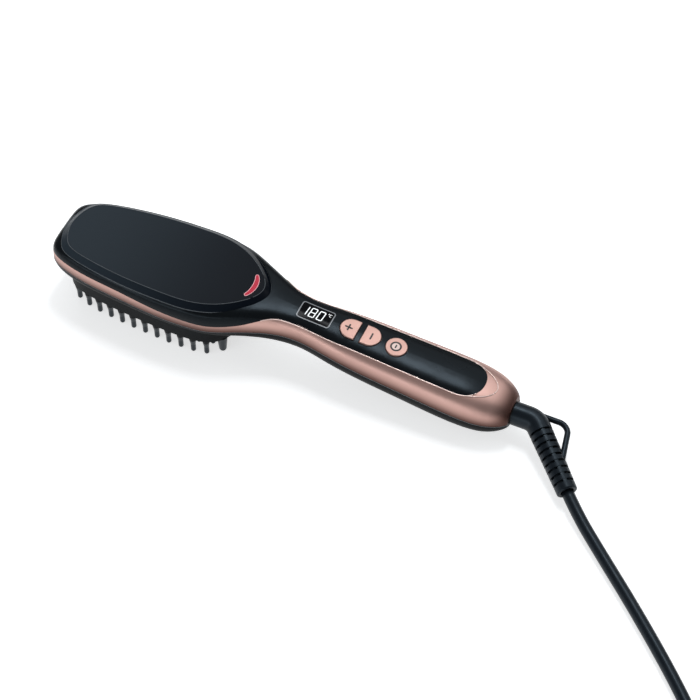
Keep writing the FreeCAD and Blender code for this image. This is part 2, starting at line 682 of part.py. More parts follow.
lower_shell = common("lower_shell", shell, below_parting)
lower_bosses = []
lower_holes = []
for number, (distance, across, joint) in enumerate(BOSSES):
    under = upright(from_tip(distance), across, -size.overrun)
    joint_name = "sizes.neck_boss_height" if joint == size.neck_boss_height else "sizes.grip_boss_height"
    rod = cylinder(f"lower_rod_{number}", under, "sizes.boss_radius", f"{joint_name} + sizes.overrun")
    lower_bosses.append(common(f"lower_boss_{number}", rod, outer_form))
    sink = f"{joint_name} - sizes.boss_grip + sizes.overrun"
    lower_holes.append(
        cylinder(f"screw_sink_{number}", under, "sizes.screw_head_radius + sizes.screw_clearance", sink)
    )
    lower_holes.append(
        cylinder(
            f"screw_hole_{number}",
            under,
            "sizes.screw_radius + sizes.screw_clearance",
            f"{joint_name} + 2 * sizes.overrun",
        )
    )
for number, (distance, across) in enumerate(PLATE_SCREWS):
    lower_holes.append(
        cylinder(
            f"plate_screw_hole_{number}",
            upright(from_tip(distance), across, size.plate_height),
            "sizes.screw_radius + sizes.screw_clearance",
            "sizes.head_waist_height - sizes.plate_height",
        )
    )
tray_middle = from_tip(size.tray_from_tip + size.tray_length / 2)
lower_holes.append(
    box(
        "heater_opening",
        upright(tray_middle, 0, size.plate_height),
        "sizes.tray_length",
        "sizes.tray_width",
        "sizes.head_waist_height - sizes.plate_height",
    )
)
lower_solid = fuse("lower_solid", [lower_shell] + lower_bosses)
piece("lower_housing", cut("lower_housing_form", lower_solid, fuse("lower_holes", lower_holes)))

# Trim frame between the two black shells

trim_shell = cut("trim_shell", shell, below_parting)
piece("trim_frame", cut("trim_frame_form", trim_shell, above_trim))

# Upper housing with its posts, cover pocket, display window and key holes

upper_parts = [common("upper_shell", shell, above_trim)]
upper_holes = []
for number, (distance, across, joint) in enumerate(BOSSES):
    on_joint = upright(from_tip(distance), across, joint)
    joint_name = "sizes.neck_boss_height" if joint == size.neck_boss_height else "sizes.grip_boss_height"
    reach = f"sizes.head_rim_height + sizes.overrun - {joint_name}"
    rod = cylinder(f"upper_rod_{number}", on_joint, "sizes.boss_radius", reach)
    upper_parts.append(common(f"upper_boss_{number}", rod, outer_form))
    upper_holes.append(
        cylinder(
            f"pilot_hole_{number}",
            on_joint,
            "sizes.screw_radius + sizes.screw_fit",
            "sizes.boss_thread + sizes.screw_fit",
        )
    )
shield_top = floor_top + size.shield_thickness
for number, (along, side) in enumerate(((1, 1), (1, -1), (-1, 1), (-1, -1))):
    on_shield = upright(
        tray_middle + along * size.shield_post_spacing_long / 2,
        side * size.shield_post_spacing_wide / 2,
        shield_top,
    )
    upper_parts.append(
        cylinder(
            f"shield_post_{number}",
            on_shield,
            "sizes.shield_post_radius",
            "sizes.head_rim_height - sizes.deck_depth / 2 - sizes.head_floor_height - sizes.wall"
            " - sizes.shield_thickness",
        )
    )
# Board posts stand clear of the display, the keys and their lips
BOARD_POSTS = [
    (distance, side * size.board_post_spacing / 2)
    for distance in (
        size.display_end + size.board_post_radius + size.key_clearance,
        size.keys_end + size.keys_to_power / 2,
    )
    for side in (1, -1)
]
for number, (distance, across) in enumerate(BOARD_POSTS):
    post = cylinder(
        f"board_post_rod_{number}",
        grip_place(distance, across, size.board_depth),
        "sizes.board_post_radius",
        "sizes.board_depth + sizes.overrun",
    )
    upper_parts.append(common(f"board_post_{number}", post, outer_form))
    upper_holes.append(
        cylinder(
            f"board_pilot_{number}",
            grip_place(distance, across, size.board_depth),
            "sizes.board_screw_radius + sizes.screw_fit",
            "sizes.board_screw_length - sizes.board_thickness + sizes.screw_fit",
        )
    )


def cover_outline(inset, level):
    """Outline of the cover, drawn in by an inset all round."""
    return outline(
        COVER_SHARES,
        size.cover_setback + inset,
        size.cover_length - 2 * inset,
        size.cover_width - 2 * inset,
        level,
    )


pocket_face = Part.Face(cover_outline(-size.cover_gap, deck_top))
upper_holes.append(
    feature("cover_pocket", pocket_face.extrude(Vector(0, 0, size.cover_height + size.overrun - deck_top)))
)
lamp_x = from_tip(size.light_from_tip + (size.light_bulge + size.light_hollow) / 2)
upper_holes.append(
    cylinder("lamp_hole", upright(lamp_x, 0, size.head_waist_height), "sizes.lamp_radius", "sizes.cover_height")
)
display_space = box(
    "display_space",
    grip_place(size.display_from_tip, 0, size.key_lip_depth + size.overrun),
    "sizes.display_length + 2 * sizes.bezel_width",
    "sizes.display_width + 2 * sizes.bezel_width",
    "sizes.key_lip_depth + 2 * sizes.overrun",
)
upper_holes.append(rounded("display_opening", display_space, size.bezel_corner))


# Keys: cap, lip and stem pads on sketches that the sheet drives


def axis_plane(body):
    """Plane of a body's own origin that is square to its Z axis."""
    return [item for item in body.Origin.OriginFeatures if item.Role == "XY_Plane"][0]


def d_sketch(body, name, grow):
    """D outline: straight edge at X zero, round end towards minus X."""
    sketch = body.newObject("Sketcher::SketchObject", name)
    sketch.AttachmentSupport = [(axis_plane(body), "")]
    sketch.MapMode = "FlatFace"
    radius = size.key_width / 2 + grow
    straight = size.key_straight
    line = Part.LineSegment
    sketch.addGeometry(line(Vector(grow, -radius, 0), Vector(grow, radius, 0)), False)
    sketch.addGeometry(line(Vector(grow, radius, 0), Vector(-straight, radius, 0)), False)
    circle = Part.Circle(Vector(-straight, 0, 0), Vector(0, 0, 1), radius)
    sketch.addGeometry(Part.ArcOfCircle(circle, math.pi / 2, 3 * math.pi / 2), False)
    sketch.addGeometry(line(Vector(-straight, -radius, 0), Vector(grow, -radius, 0)), False)
    limit = Sketcher.Constraint
    sketch.addConstraint(limit("Coincident", 0, 2, 1, 1))
    sketch.addConstraint(limit("Tangent", 1, 2, 2, 1))
    sketch.addConstraint(limit("Tangent", 2, 2, 3, 1))
    sketch.addConstraint(limit("Coincident", 3, 2, 0, 1))
    sketch.addConstraint(limit("Vertical", 0))
    sketch.addConstraint(limit("PointOnObject", 2, 3, -1))
    radius_limit = sketch.addConstraint(limit("Radius", 2, radius))
    centre_limit = sketch.addConstraint(limit("DistanceX", 2, 3, -1, 1, straight))
    edge_limit = None
    if grow:
        edge_limit = sketch.addConstraint(limit("DistanceX", -1, 1, 0, 1, grow))
    else:
        sketch.addConstraint(limit("PointOnObject", 0, 1, -2))
    return sketch, radius_limit, centre_limit, edge_limit


def disc_sketch(body, name, radius, formula):
    sketch = body.newObject("Sketcher::SketchObject", name)
    sketch.AttachmentSupport = [(axis_plane(body), "")]
    sketch.MapMode = "FlatFace"
    sketch.addGeometry(Part.Circle(Vector(0, 0, 0), Vector(0, 0, 1), radius), False)
    sketch.addConstraint(Sketcher.Constraint("Coincident", 0, 3, -1, 1))
    limit = sketch.addConstraint(Sketcher.Constraint("Radius", 0, radius))
    sketch.setExpression(f"Constraints[{limit}]", formula)
    return sketch


def pad(body, name, sketch, formula, down=False):
    made = body.newObject("PartDesign::Pad", name)
    made.Profile = sketch
    made.Reversed = down
    made.setExpression("Length", formula)
    doc.recompute()
    return made


def round_top(body, name, base, formula):
    """Rounded edge round the top face of a pad."""
    highest = base.Shape.BoundBox.ZMax
    edges = [
        f"Edge{number}"
        for number, edge in enumerate(base.Shape.Edges, start=1)
        if min(vertex.Z for vertex in edge.Vertexes) > highest - size.key_rounding
    ]
    made = body.newObject("PartDesign::Fillet", name)
    made.Base = (base, edges)
    made.setExpression("Radius", formula)
    doc.recompute()
    return made


def d_profile(body, name, grow, grow_formula):
    sketch, radius_limit, centre_limit, edge_limit = d_sketch(body, name, grow)
    sketch.setExpression(f"Constraints[{radius_limit}]", f"sizes.key_width / 2{grow_formula}")
    sketch.setExpression(f"Constraints[{centre_limit}]", "sizes.key_straight")
    if edge_limit is not None:
        sketch.setExpression(f"Constraints[{edge_limit}]", grow_formula.lstrip(" +"))
    return sketch


def key(name, place, profile, middle):
    """Key body whose origin lies on top of its lip; middle is the stem's place in the body."""
    body = doc.addObject("PartDesign::Body", name)
    cap = pad(body, f"{name}_cap", profile(body, f"{name}_cap_sketch", 0, ""), "sizes.key_lip_depth + sizes.key_proud")
    rounded = round_top(body, f"{name}_rounding", cap, "sizes.key_rounding")
    lip = profile(body, f"{name}_lip_sketch", size.key_lip, " + sizes.key_lip")
    pad(body, f"{name}_lip", lip, "sizes.key_lip_height", down=True)
    stem = disc_sketch(body, f"{name}_stem_sketch", size.key_stem_radius, "sizes.key_stem_radius")
    stem.AttachmentOffset = Placement(middle, Rotation())
    last = pad(
        body,
        f"{name}_stem",
        stem,
        "sizes.board_depth - sizes.switch_height - sizes.plunger_rise - sizes.key_lip_depth",
        down=True,
    )
    body.Tip = last
    body.Placement = place
    return body


def round_profile(body, name, grow, grow_formula):
    return disc_sketch(body, name, size.power_radius + grow, f"sizes.power_radius{grow_formula}")


plus_edge = size.keys_from_tip - size.key_gap / 2
minus_edge = size.keys_from_tip + size.key_gap / 2
half_turn = Placement(Vector(0, 0, 0), Rotation(Vector(0, 0, 1), 180))
d_middle = Vector(-size.key_length / 2, 0, 0)
KEYS = (
    ("plus", grip_place(plus_edge, 0, size.key_lip_depth), d_profile, d_middle),
    ("minus", grip_place(minus_edge, 0, size.key_lip_depth).multiply(half_turn), d_profile, d_middle),
    ("power", grip_place(size.power_from_tip, 0, size.key_lip_depth), round_profile, Vector(0, 0, 0)),
)
switch_bodies = []
for name, place, profile, middle in KEYS:
    key_body = piece(f"{name}_button", key(f"{name}_key", place, profile, middle))
    hole_body = doc.addObject("PartDesign::Body", f"{name}_opening")
    hole_sketch = profile(hole_body, f"{name}_opening_sketch", size.key_clearance, " + sizes.key_clearance")
    pad(hole_body, f"{name}_opening_pad", hole_sketch, "sizes.key_lip_depth + sizes.overrun")
    hole_body.Placement = place
    upper_holes.append(hole_body)
    room_body = doc.addObject("PartDesign::Body", f"{name}_lip_room")
    room_sketch = profile(
        room_body,
        f"{name}_lip_room_sketch",
        size.key_lip + size.key_clearance,
        " + sizes.key_lip + sizes.key_clearance",
    )
    pad(room_body, f"{name}_lip_room_pad", room_sketch, "sizes.overrun", down=True)
    room_body.Placement = place.multiply(upright(0, 0, size.key_clearance))
    upper_holes.append(room_body)
    stem_length = size.board_depth - size.switch_height - size.plunger_rise - size.key_lip_depth
    under_stem = place.multiply(Placement(middle - Vector(0, 0, stem_length), Rotation(Vector(1, 0, 0), 180)))
    piece(
        f"{name}_plunger",
        cylinder(
            f"{name}_plunger_form",
            under_stem,
            "sizes.plunger_radius",
            "sizes.plunger_rise + sizes.plunger_depth",
        ),
    )
    on_board = place.multiply(upright(middle.x, middle.y, size.key_lip_depth - size.board_depth))
    body_form = box(f"{name}_switch_body", on_board, "sizes.switch_side", "sizes.switch_side", "sizes.switch_height")
    well = cylinder(
        f"{name}_switch_well",
        on_board.multiply(upright(0, 0, size.switch_height)).multiply(
            Placement(Vector(0, 0, 0), Rotation(Vector(1, 0, 0), 180))
        ),
        "sizes.plunger_radius + sizes.key_clearance",
        "sizes.plunger_depth + sizes.key_travel + sizes.key_clearance",
    )
    switch_bodies.append(cut(f"{name}_switch", body_form, well))
piece("key_switches", group("key_switch_group", switch_bodies))
upper_solid = fuse("upper_solid", upper_parts)
piece("upper_housing", cut("upper_housing_form", upper_solid, fuse("upper_holes", upper_holes)))

# Cover with a sloped edge and the crescent light set into it

edge_top = deck_top + size.cover_edge
cover_wall = Part.Face(cover_outline(0, deck_top)).extrude(Vector(0, 0, size.cover_edge))
cover_slope = Part.makeLoft(
    [cover_outline(0, edge_top), cover_outline(size.cover_bevel, size.cover_height)], True, True
)
cover_form = feature("cover_form", cover_wall.fuse(cover_slope).removeSplitter())


def crescent(gap, level, height):
    """Crescent between two arcs, with rounded horns towards the head."""
    x = from_tip(size.light_from_tip)
    half = size.light_span / 2 - size.light_end_radius
    sag = (size.light_bulge + size.light_hollow) / 2
    radius = (half * half + sag * sag) / (2 * sag)
    out_x = (radius - sag) / radius
    out_y = half / radius
    end = size.light_end_radius + gap

    def horn(side):
        outer = Vector(x + out_x * end, side * (half + out_y * end), level)
        tip = Vector(x - out_y * end, side * (half + out_x * end), level)
        inner = Vector(x - out_x * end, side * (half - out_y * end), level)
        return outer, tip, inner

    near, far = horn(-1), horn(1)
    rim = [
        Part.Arc(near[0], Vector(x + size.light_bulge + gap, 0, level), far[0]),
        Part.Arc(*far),
        Part.Arc(far[2], Vector(x + size.light_hollow - gap, 0, level), near[2]),
        Part.Arc(*reversed(near)),
    ]
    return Part.Face(Part.Wire([arc.toShape() for arc in rim])).extrude(Vector(0, 0, height))


window_space = feature(
    "window_space", crescent(size.light_gap, deck_top - size.overrun, size.cover_height + size.overrun)
)
piece("head_cover", cut("head_cover_form", cover_form, window_space))
piece("ion_light_window", feature("window_form", crescent(0, deck_top, size.cover_height - deck_top)))
lamp_under = deck_top - size.lamp_height
lamp_stem = cylinder(
    "lamp_stem", upright(lamp_x, 0, lamp_under), "sizes.lamp_radius - sizes.light_gap", "sizes.lamp_height"
)
lamp_collar = cylinder(
    "lamp_collar_form",
    upright(lamp_x, 0, lamp_under),
    "sizes.lamp_radius + sizes.lamp_collar",
    "sizes.lamp_height - sizes.deck_thickness - sizes.cover_gap",
)
piece("ion_light", fuse("ion_light_form", [lamp_stem, lamp_collar]))

# Display: lens and frame follow the crown, the module stands on the board

display_base = grip_place(size.display_from_tip, 0, size.lens_depth)
lens_block = box(
    "lens_block", display_base, "sizes.display_length", "sizes.display_width", "sizes.lens_depth + sizes.overrun"
)
frame_block = box(
    "frame_block",
    display_base,
    "sizes.display_length + 2 * sizes.bezel_width",
    "sizes.display_width + 2 * sizes.bezel_width",
    "sizes.lens_depth + sizes.overrun",
)
lens_space = rounded("lens_space", lens_block, size.bezel_corner - size.bezel_width)
frame_space = rounded("frame_space", frame_block, size.bezel_corner)
piece("display_lens", common("lens_form", lens_space, outer_form))
piece("display_bezel", common("bezel_form", cut("frame_ring", frame_space, lens_space), outer_form))
piece(
    "display_module",
    box(
        "module_form",
        grip_place(size.display_from_tip, 0, size.board_depth),
        "sizes.display_length - 2 * sizes.module_margin",
        "sizes.display_width - 2 * sizes.module_margin",
        "sizes.board_depth - sizes.lens_depth - sizes.display_gap",
    ),
)

# Control board, what it carries underneath, and its screws

board_under = size.board_depth + size.board_thickness
board_slab = box(
    "board_slab",
    grip_place(size.board_from_tip, 0, board_under),
    "sizes.board_length",
    "sizes.board_width",
    "sizes.board_thickness",
)
upside_down = Placement(Vector(0, 0, 0), Rotation(Vector(1, 0, 0), 180))
board_holes = []
board_screws = []
for number, (distance, across) in enumerate(BOARD_POSTS):
    under_board = grip_place(distance, across, board_under)
    board_holes.append(
        cylinder(
            f"board_hole_{number}",
            under_board.multiply(upright(0, 0, -size.board_thickness)),
            "sizes.board_screw_radius + sizes.screw_fit",
            "3 * sizes.board_thickness",
        )
    )
    shank = cylinder(
        f"board_shank_{number}", under_board, "sizes.board_screw_radius", "sizes.board_screw_length"
    )
    head = cylinder(
        f"board_screw_head_{number}",
        under_board.multiply(upside_down),
        "sizes.board_screw_head",
        "sizes.board_screw_head_height",
    )
    board_screws.append(fuse(f"board_screw_{number}", [shank, head]))
piece("control_board", cut("control_board_form", board_slab, fuse("board_holes", board_holes)))
piece("board_screws", group("board_screw_group", board_screws))
component_step = size.capacitor_radius * 2 + size.driver_length
capacitor = cylinder(
    "capacitor",
    grip_place(size.board_from_tip, 0, board_under).multiply(upside_down),
    "sizes.capacitor_radius",
    "sizes.capacitor_height",
)
driver = box(
    "driver",
    grip_place(size.board_from_tip - component_step, 0, board_under).multiply(upside_down),
    "sizes.driver_length",
    "sizes.driver_width",
    "sizes.driver_height",
)
supply = box(
    "supply",
    grip_place(size.board_from_tip + component_step, 0, board_under).multiply(upside_down),
    "2 * sizes.driver_length",
    "sizes.driver_width",
    "2 * sizes.driver_height",
)
piece("board_components", group("component_group", [capacitor, driver, supply]))

# Bristle plate: follows the underside of the head, with a heater tray and a cone under each bristle

plate_outline = outline(
    PLATE_SHARES, size.plate_setback, size.plate_length, size.plate_width, size.plate_height
)
plate_prism = Part.Face(plate_outline).extrude(Vector(0, 0, size.head_waist_height - size.plate_height))
plate_block = cut("plate_block", feature("plate_prism", plate_prism), outer_form)


def bristle_places(row):
    """Bristles of a row, evenly spread between the plate's edges."""
    distance = size.first_row_from_tip + row * size.row_pitch
    along = (distance - size.plate_setback) / size.plate_length
    outermost = size.plate_width / 2 * share_at(PLATE_SHARES, along) - size.bristle_margin
    spaces = max(1, round(2 * outermost / size.bristle_pitch))
    return [Vector(from_tip(distance), outermost * (2 * step / spaces - 1), 0) for step in range(spaces + 1)]


def bristle(place):
    """Stem that tapers from its cone to a round tip on the surface the brush lies on."""
    radius = size.bristle_radius
    taper_end = size.plate_height - size.foot_height - size.bristle_taper
    stem = Part.makeCylinder(radius, taper_end - radius, place + Vector(0, 0, radius))
    tip = Part.makeSphere(radius, place + Vector(0, 0, radius))
    taper_base = place + Vector(0, 0, taper_end)
    taper = Part.makeCone(radius, size.bristle_neck_radius, size.bristle_taper, taper_base)
    return stem.fuse([tip, taper]).removeSplitter()


feet = []
rows = int(size.bristle_rows)
for row in range(rows):
    places = bristle_places(row)
    for place in places:
        foot_base = place + Vector(0, 0, size.plate_height - size.foot_height)
        feet.append(Part.makeCone(size.bristle_neck_radius, size.foot_radius, size.foot_height, foot_base))
    stems = [bristle(place) for place in places]
    piece(f"bristle_row_{row + 1:02d}", feature(f"row_{row + 1:02d}", Part.makeCompound(stems)))
bristle_feet = feature("bristle_feet", Part.makeCompound(feet))
tray_floor = size.plate_height + size.plate_thickness
tray_space = box(
    "tray_space",
    upright(tray_middle, 0, tray_floor),
    "sizes.tray_length",
    "sizes.tray_width",
    "sizes.head_waist_height - sizes.plate_height",
)
plate_pilots = [
    cylinder(
        f"plate_pilot_{number}",
        upright(from_tip(distance), across, floor_top + size.screw_head_lift - size.plate_screw_length),
        "sizes.screw_radius + sizes.screw_fit",
        "sizes.plate_screw_length + sizes.overrun",
    )
    for number, (distance, across) in enumerate(PLATE_SCREWS)
]
footed_plate = fuse("footed_plate", [plate_block, bristle_feet])
piece("bristle_plate", cut("bristle_plate_form", footed_plate, fuse("plate_spaces", [tray_space] + plate_pilots)))
nub_top = size.plate_height - size.nub_height
nub_along = (size.nub_from_tip - size.plate_setback) / size.plate_length
nub_across = size.plate_width / 2 * share_at(PLATE_SHARES, nub_along) - size.nub_margin
nubs = []
for side in (1, -1):
    foot = Vector(from_tip(size.nub_from_tip), side * nub_across, nub_top + size.nub_radius)
    stem = Part.makeCone(size.nub_radius, size.nub_foot_radius, size.nub_height - size.nub_radius, foot)
    nubs.append(stem.fuse(Part.makeSphere(size.nub_radius, foot)).removeSplitter())
piece("guard_nubs", feature("nub_group", Part.makeCompound(nubs)))

# Heater stack in the tray

clamp_end = tray_middle + size.heater_span / 2
piece(
    "heater_insulator",
    box(
        "insulator_form",
        upright(tray_middle, 0, tray_floor),
        "sizes.heater_span",
        "sizes.heater_width + 2 * sizes.heater_gap",
        "sizes.insulator_thickness",
    ),
)
heater_level = tray_floor + size.insulator_thickness
heaters = []
for number in range(int(size.heater_count)):
    x = tray_middle - size.heater_span / 2 + size.heater_length / 2 + number * (size.heater_length + size.heater_gap)
    heaters.append(
        box(
            f"heater_{number}",
            upright(x, 0, heater_level),
            "sizes.heater_length",
            "sizes.heater_width",
            "sizes.heater_thickness",
        )
    )
piece("ptc_heaters", group("heater_group", heaters))
clamp_level = heater_level + size.heater_thickness
piece(
    "heater_clamp",
    box(
        "clamp_form",
        upright(tray_middle, 0, clamp_level),
        "sizes.heater_span",
        "sizes.heater_width",
        "sizes.clamp_thickness",
    ),
)
flat_turn = Rotation(Vector(0, 1, 0), 90)
piece(
    "thermal_fuse",
    cylinder(
        "fuse_form",
        Placement(
            Vector(tray_middle - size.fuse_length / 2, size.sensor_offset, tray_floor + size.fuse_radius), flat_turn
        ),
        "sizes.fuse_radius",
        "sizes.fuse_length",
    ),
)
piece(
    "thermistor",
    cylinder(
        "thermistor_form",
        Placement(
            Vector(tray_middle - size.sensor_length / 2, -size.sensor_offset, tray_floor + size.sensor_radius),
            flat_turn,
        ),
        "sizes.sensor_radius",
        "sizes.sensor_length",
    ),
)
shield_slab = box(
    "shield_slab",
    upright(tray_middle, 0, floor_top - size.wall),
    "sizes.shield_length",
    "sizes.shield_width",
    "sizes.shield_thickness + sizes.wall",
)
lead_notches = [
    box(
        f"lead_notch_{number}",
        upright(
            clamp_end + size.overrun - size.heater_gap, side * size.heater_width / 4, size.head_floor_height
        ),
        "2 * sizes.overrun + 2 * sizes.heater_gap",
        "5 * sizes.lead_radius",
        "sizes.head_waist_height - sizes.head_floor_height",
    )
    for number, side in enumerate((1, -1))
]
notched_slab = cut("notched_slab", shield_slab, fuse("lead_notches", lead_notches))
piece("heat_shield", common("shield_form", notched_slab, hollow_form))
piece(
    "ion_generator",
    box(
        "ioniser_form",
        upright(tray_middle, 0, shield_top),
        "sizes.ioniser_length",
        "sizes.ioniser_width",
        "sizes.ioniser_height",
    ),
)

# Screws


def screw(name, place, length):
    """Screw whose head stands behind its place and whose shank points along Z."""
    shank = cylinder(f"{name}_shank", place, "sizes.screw_radius", length)
    head = cylinder(
        f"{name}_head", place.multiply(upside_down), "sizes.screw_head_radius", "sizes.screw_head_height"
    )
    return fuse(name, [shank, head])


housing_screws = [
    screw(
        f"housing_screw_{number}",
        upright(from_tip(distance), across, joint - size.boss_grip),
        "sizes.boss_grip + sizes.boss_thread",
    )
    for number, (distance, across, joint) in enumerate(BOSSES)
]
piece("housing_screws", group("housing_screw_group", housing_screws))
plate_screws = [
    screw(
        f"plate_screw_{number}",
        upright(from_tip(distance), across, floor_top + size.screw_head_lift).multiply(upside_down),
        "sizes.plate_screw_length",
    )
    for number, (distance, across) in enumerate(PLATE_SCREWS)
]
piece("plate_screws", group("plate_screw_group", plate_screws))

# Cord swivel: fixed bush and contact block, turning core with slip rings

bush_rod = cylinder("bush_rod", along_axis(size.bush_start), "sizes.bush_radius", "sizes.bush_length")
bush_bore = cylinder(
    "bush_bore", along_axis(size.bush_start), "sizes.swivel_radius + sizes.swivel_fit", "sizes.bush_length"
)
piece("swivel_bush", cut("bush_form", bush_rod, bush_bore))
flange_start = size.bush_start + size.swivel_gap + size.flange_thickness
core_parts = [
    cylinder(
        "core_rod",
        along_axis(flange_start),
        "sizes.swivel_radius",
        "sizes.bush_start + sizes.swivel_gap + sizes.flange_thickness + sizes.sleeve_gap",
    ),
    cylinder("core_flange", along_axis(flange_start), "sizes.flange_radius", "sizes.flange_thickness"),
    cylinder(
        "core_nose",
        along_axis(block_start),
        "sizes.nose_radius",
        "sizes.block_length + sizes.swivel_gap",
    ),
]
relief_socket = cylinder(
    "relief_socket",
    along_axis(size.relief_neck_length - size.sleeve_gap),
    "sizes.relief_neck_radius",
    "sizes.relief_neck_length",
)
piece("swivel_core", cut("core_form", fuse("core_solid", core_parts), relief_socket))
ring_radius = size.nose_radius + size.ring_thickness
RING_STARTS = [
    block_start - size.block_length * step / 3 + size.ring_length / 2 for step in (1, 2)
]
rings = []
brushes = []
brush_slots = []
for number, start in enumerate(RING_STARTS):
    rod = cylinder(
        f"ring_rod_{number}", along_axis(start), "sizes.nose_radius + sizes.ring_thickness", "sizes.ring_length"
    )
    bore = cylinder(f"ring_bore_{number}", along_axis(start), "sizes.nose_radius", "sizes.ring_length")
    rings.append(cut(f"ring_{number}", rod, bore))
    brush_place = upright(
        heel_x - start + size.ring_length / 2, 0, size.axis_height + ring_radius + size.swivel_gap
    )
    reach = "sizes.bush_radius - sizes.nose_radius - sizes.ring_thickness - sizes.swivel_gap"
    for kind, keep in (("brush", brushes), ("slot", brush_slots)):
        keep.append(box(f"{kind}_{number}", brush_place, "sizes.brush_length", "sizes.brush_width", reach))
piece("contact_rings", group("ring_group", rings))
piece("contact_brushes", group("brush_group", brushes))
block_rod = cylinder("block_rod", along_axis(block_start), "sizes.bush_radius", "sizes.block_length")
block_bore = cylinder(
    "block_bore",
    along_axis(block_start),
    "sizes.nose_radius + sizes.ring_thickness + sizes.swivel_gap",
    "sizes.block_length",
)
piece("contact_block", cut("block_form", block_rod, fuse("block_spaces", [block_bore] + brush_slots)))

# Tubes: straight runs joined by arcs as large as the runs allow


def route_points(shares):
    """Points of a route on the surface."""
    length = size.overall_length
    return [Vector(x * length, y * length, z * size.cord_diameter) for x, y, z in shares]


def rounded_path(points, radii=None):
    """Wire through a route's points; the radius at each corner is kept in radii."""
    edges = []
    here = points[0]
    for before, corner, after in zip(points, points[1:], points[2:]):
        into = corner - before
        out = after - corner
        half_turn_angle = into.getAngle(out) / 2
        reach = BEND_SHARE * min(into.Length, out.Length)
        into.normalize()
        out.normalize()
        radius = reach / math.tan(half_turn_angle)
        inward = out - into
        inward.normalize()
        first = corner - into * reach
        last = corner + out * reach
        middle = corner + inward * (radius / math.cos(half_turn_angle) - radius)
        edges.append(Part.LineSegment(here, first).toShape())
        edges.append(Part.Arc(first, middle, last).toShape())
        here = last
        if radii is not None:
            radii.append(radius)
    edges.append(Part.LineSegment(here, points[-1]).toShape())
    return Part.Wire(edges)


def tube(path, radius):
    """Solid tube of round section along a wire."""
    start = path.OrderedVertexes[0].Point
    edge = path.OrderedEdges[0]
    heading = edge.tangentAt(edge.FirstParameter)
    profile = Part.Wire(Part.makeCircle(radius, start, heading))
    return path.makePipeShell([profile], True, False)


# Wires inside: from the heater clamp to the board, and from the contact brushes to the board

wire_gap = size.lead_radius * 2
heater_wires = []
for side in (1, -1):
    y = side * size.heater_width / 4
    tie_in = grip_place(size.board_start + wire_gap, y, board_under + size.lead_radius).Base
    floor_level = clamp_level + size.clamp_thickness + size.lead_radius
    route = [
        Vector(clamp_end - 3 * size.heater_gap, y, floor_level),
        Vector(clamp_end, y, floor_level),
        Vector(clamp_end + size.heater_gap, y, shield_top + size.shield_post_radius),
        Vector(from_tip(size.head_length + size.neck_length / 4), y, size.head_waist_height - size.wall),
        Vector(from_tip(size.board_start - wire_gap), y, tie_in.z),
        tie_in,
    ]
    heater_wires.append(tube(rounded_path(route), size.lead_radius))
piece("heater_leads", feature("heater_lead_group", Part.makeCompound(heater_wires)))
mains_wires = []
brush_top = size.axis_height + size.bush_radius + size.lead_radius
for number, start in enumerate(RING_STARTS):
    side = 1 if number else -1
    y = side * size.board_width / 4
    tie_in = grip_place(size.board_end - wire_gap, y, size.board_depth - size.lead_radius).Base
    brush_x = heel_x - start + size.ring_length / 2
    route = [
        Vector(brush_x, 0, brush_top),
        Vector(brush_x - size.brush_width, side * size.lead_radius, brush_top + size.lead_radius),
        Vector(from_tip(size.grip_boss_from_tip), y / 4, brush_top),
        tie_in,
    ]
    mains_wires.append(tube(rounded_path(route), size.lead_radius))
piece("mains_leads", feature("mains_lead_group", Part.makeCompound(mains_wires)))

# Strain relief: straight sleeve, bend and ribbed part, with the neck that sits in the core

swing = math.radians(size.relief_swing)
dip = math.radians(size.relief_dip)
relief_heading = Vector(
    math.cos(dip) * math.cos(swing), -math.cos(dip) * math.sin(swing), -math.sin(dip)
)
cord_axis = Vector(1, 0, 0)
half_bend = cord_axis.getAngle(relief_heading) / 2
bend_reach = size.sleeve_bend * math.tan(half_bend)
sleeve_start = Vector(heel_x + size.sleeve_gap, 0, size.axis_height)
bend_corner = sleeve_start + cord_axis * (size.sleeve_length + bend_reach)
bend_start = bend_corner - cord_axis * bend_reach
rib_start = bend_corner + relief_heading * bend_reach
inward = relief_heading - cord_axis
inward.normalize()
bend_middle = bend_corner + inward * size.sleeve_bend * (1 / math.cos(half_bend) - 1)
sleeve_path = Part.Wire(
    [
        Part.LineSegment(sleeve_start, bend_start).toShape(),
        Part.Arc(bend_start, bend_middle, rib_start).toShape(),
    ]
)
sleeve = tube(sleeve_path, size.sleeve_radius)
ribbed = Part.makeCone(
    size.sleeve_radius, size.relief_end_radius, size.relief_length, rib_start, relief_heading
)
rib_pitch = size.relief_length / (size.groove_count + 1)
spine_turn = Rotation(Vector(0, 0, 1), relief_heading)
for number in range(int(size.groove_count)):
    groove_start = rib_start + relief_heading * (rib_pitch * (number + 1) - size.groove_width / 2)
    ring = Part.makeCylinder(size.sleeve_radius * 2, size.groove_width, groove_start, relief_heading)
    ring = ring.cut(Part.makeCylinder(size.relief_core_radius, size.groove_width, groove_start, relief_heading))
    ribbed = ribbed.cut(ring)
for angle in (45, 135):
    bar = Part.makeBox(2 * size.relief_end_radius, size.spine_width, size.relief_length - rib_pitch / 2)
    bar.translate(Vector(-size.relief_end_radius, -size.spine_width / 2, 0))
    bar.rotate(Vector(0, 0, 0), Vector(0, 0, 1), angle)
    bar.Placement = Placement(rib_start, spine_turn).multiply(bar.Placement)
    rounding = Part.makeCylinder(size.relief_end_radius, size.relief_length, rib_start, relief_heading)
    ribbed = ribbed.fuse(bar.common(rounding))
neck = Part.makeCylinder(
    size.relief_neck_radius, size.relief_neck_length, sleeve_start - cord_axis * size.relief_neck_length, cord_axis
)
piece("strain_relief", feature("relief_form", sleeve.fuse([ribbed, neck]).removeSplitter()))

# Hanging loop beside the ribbed part, cut where it joins it

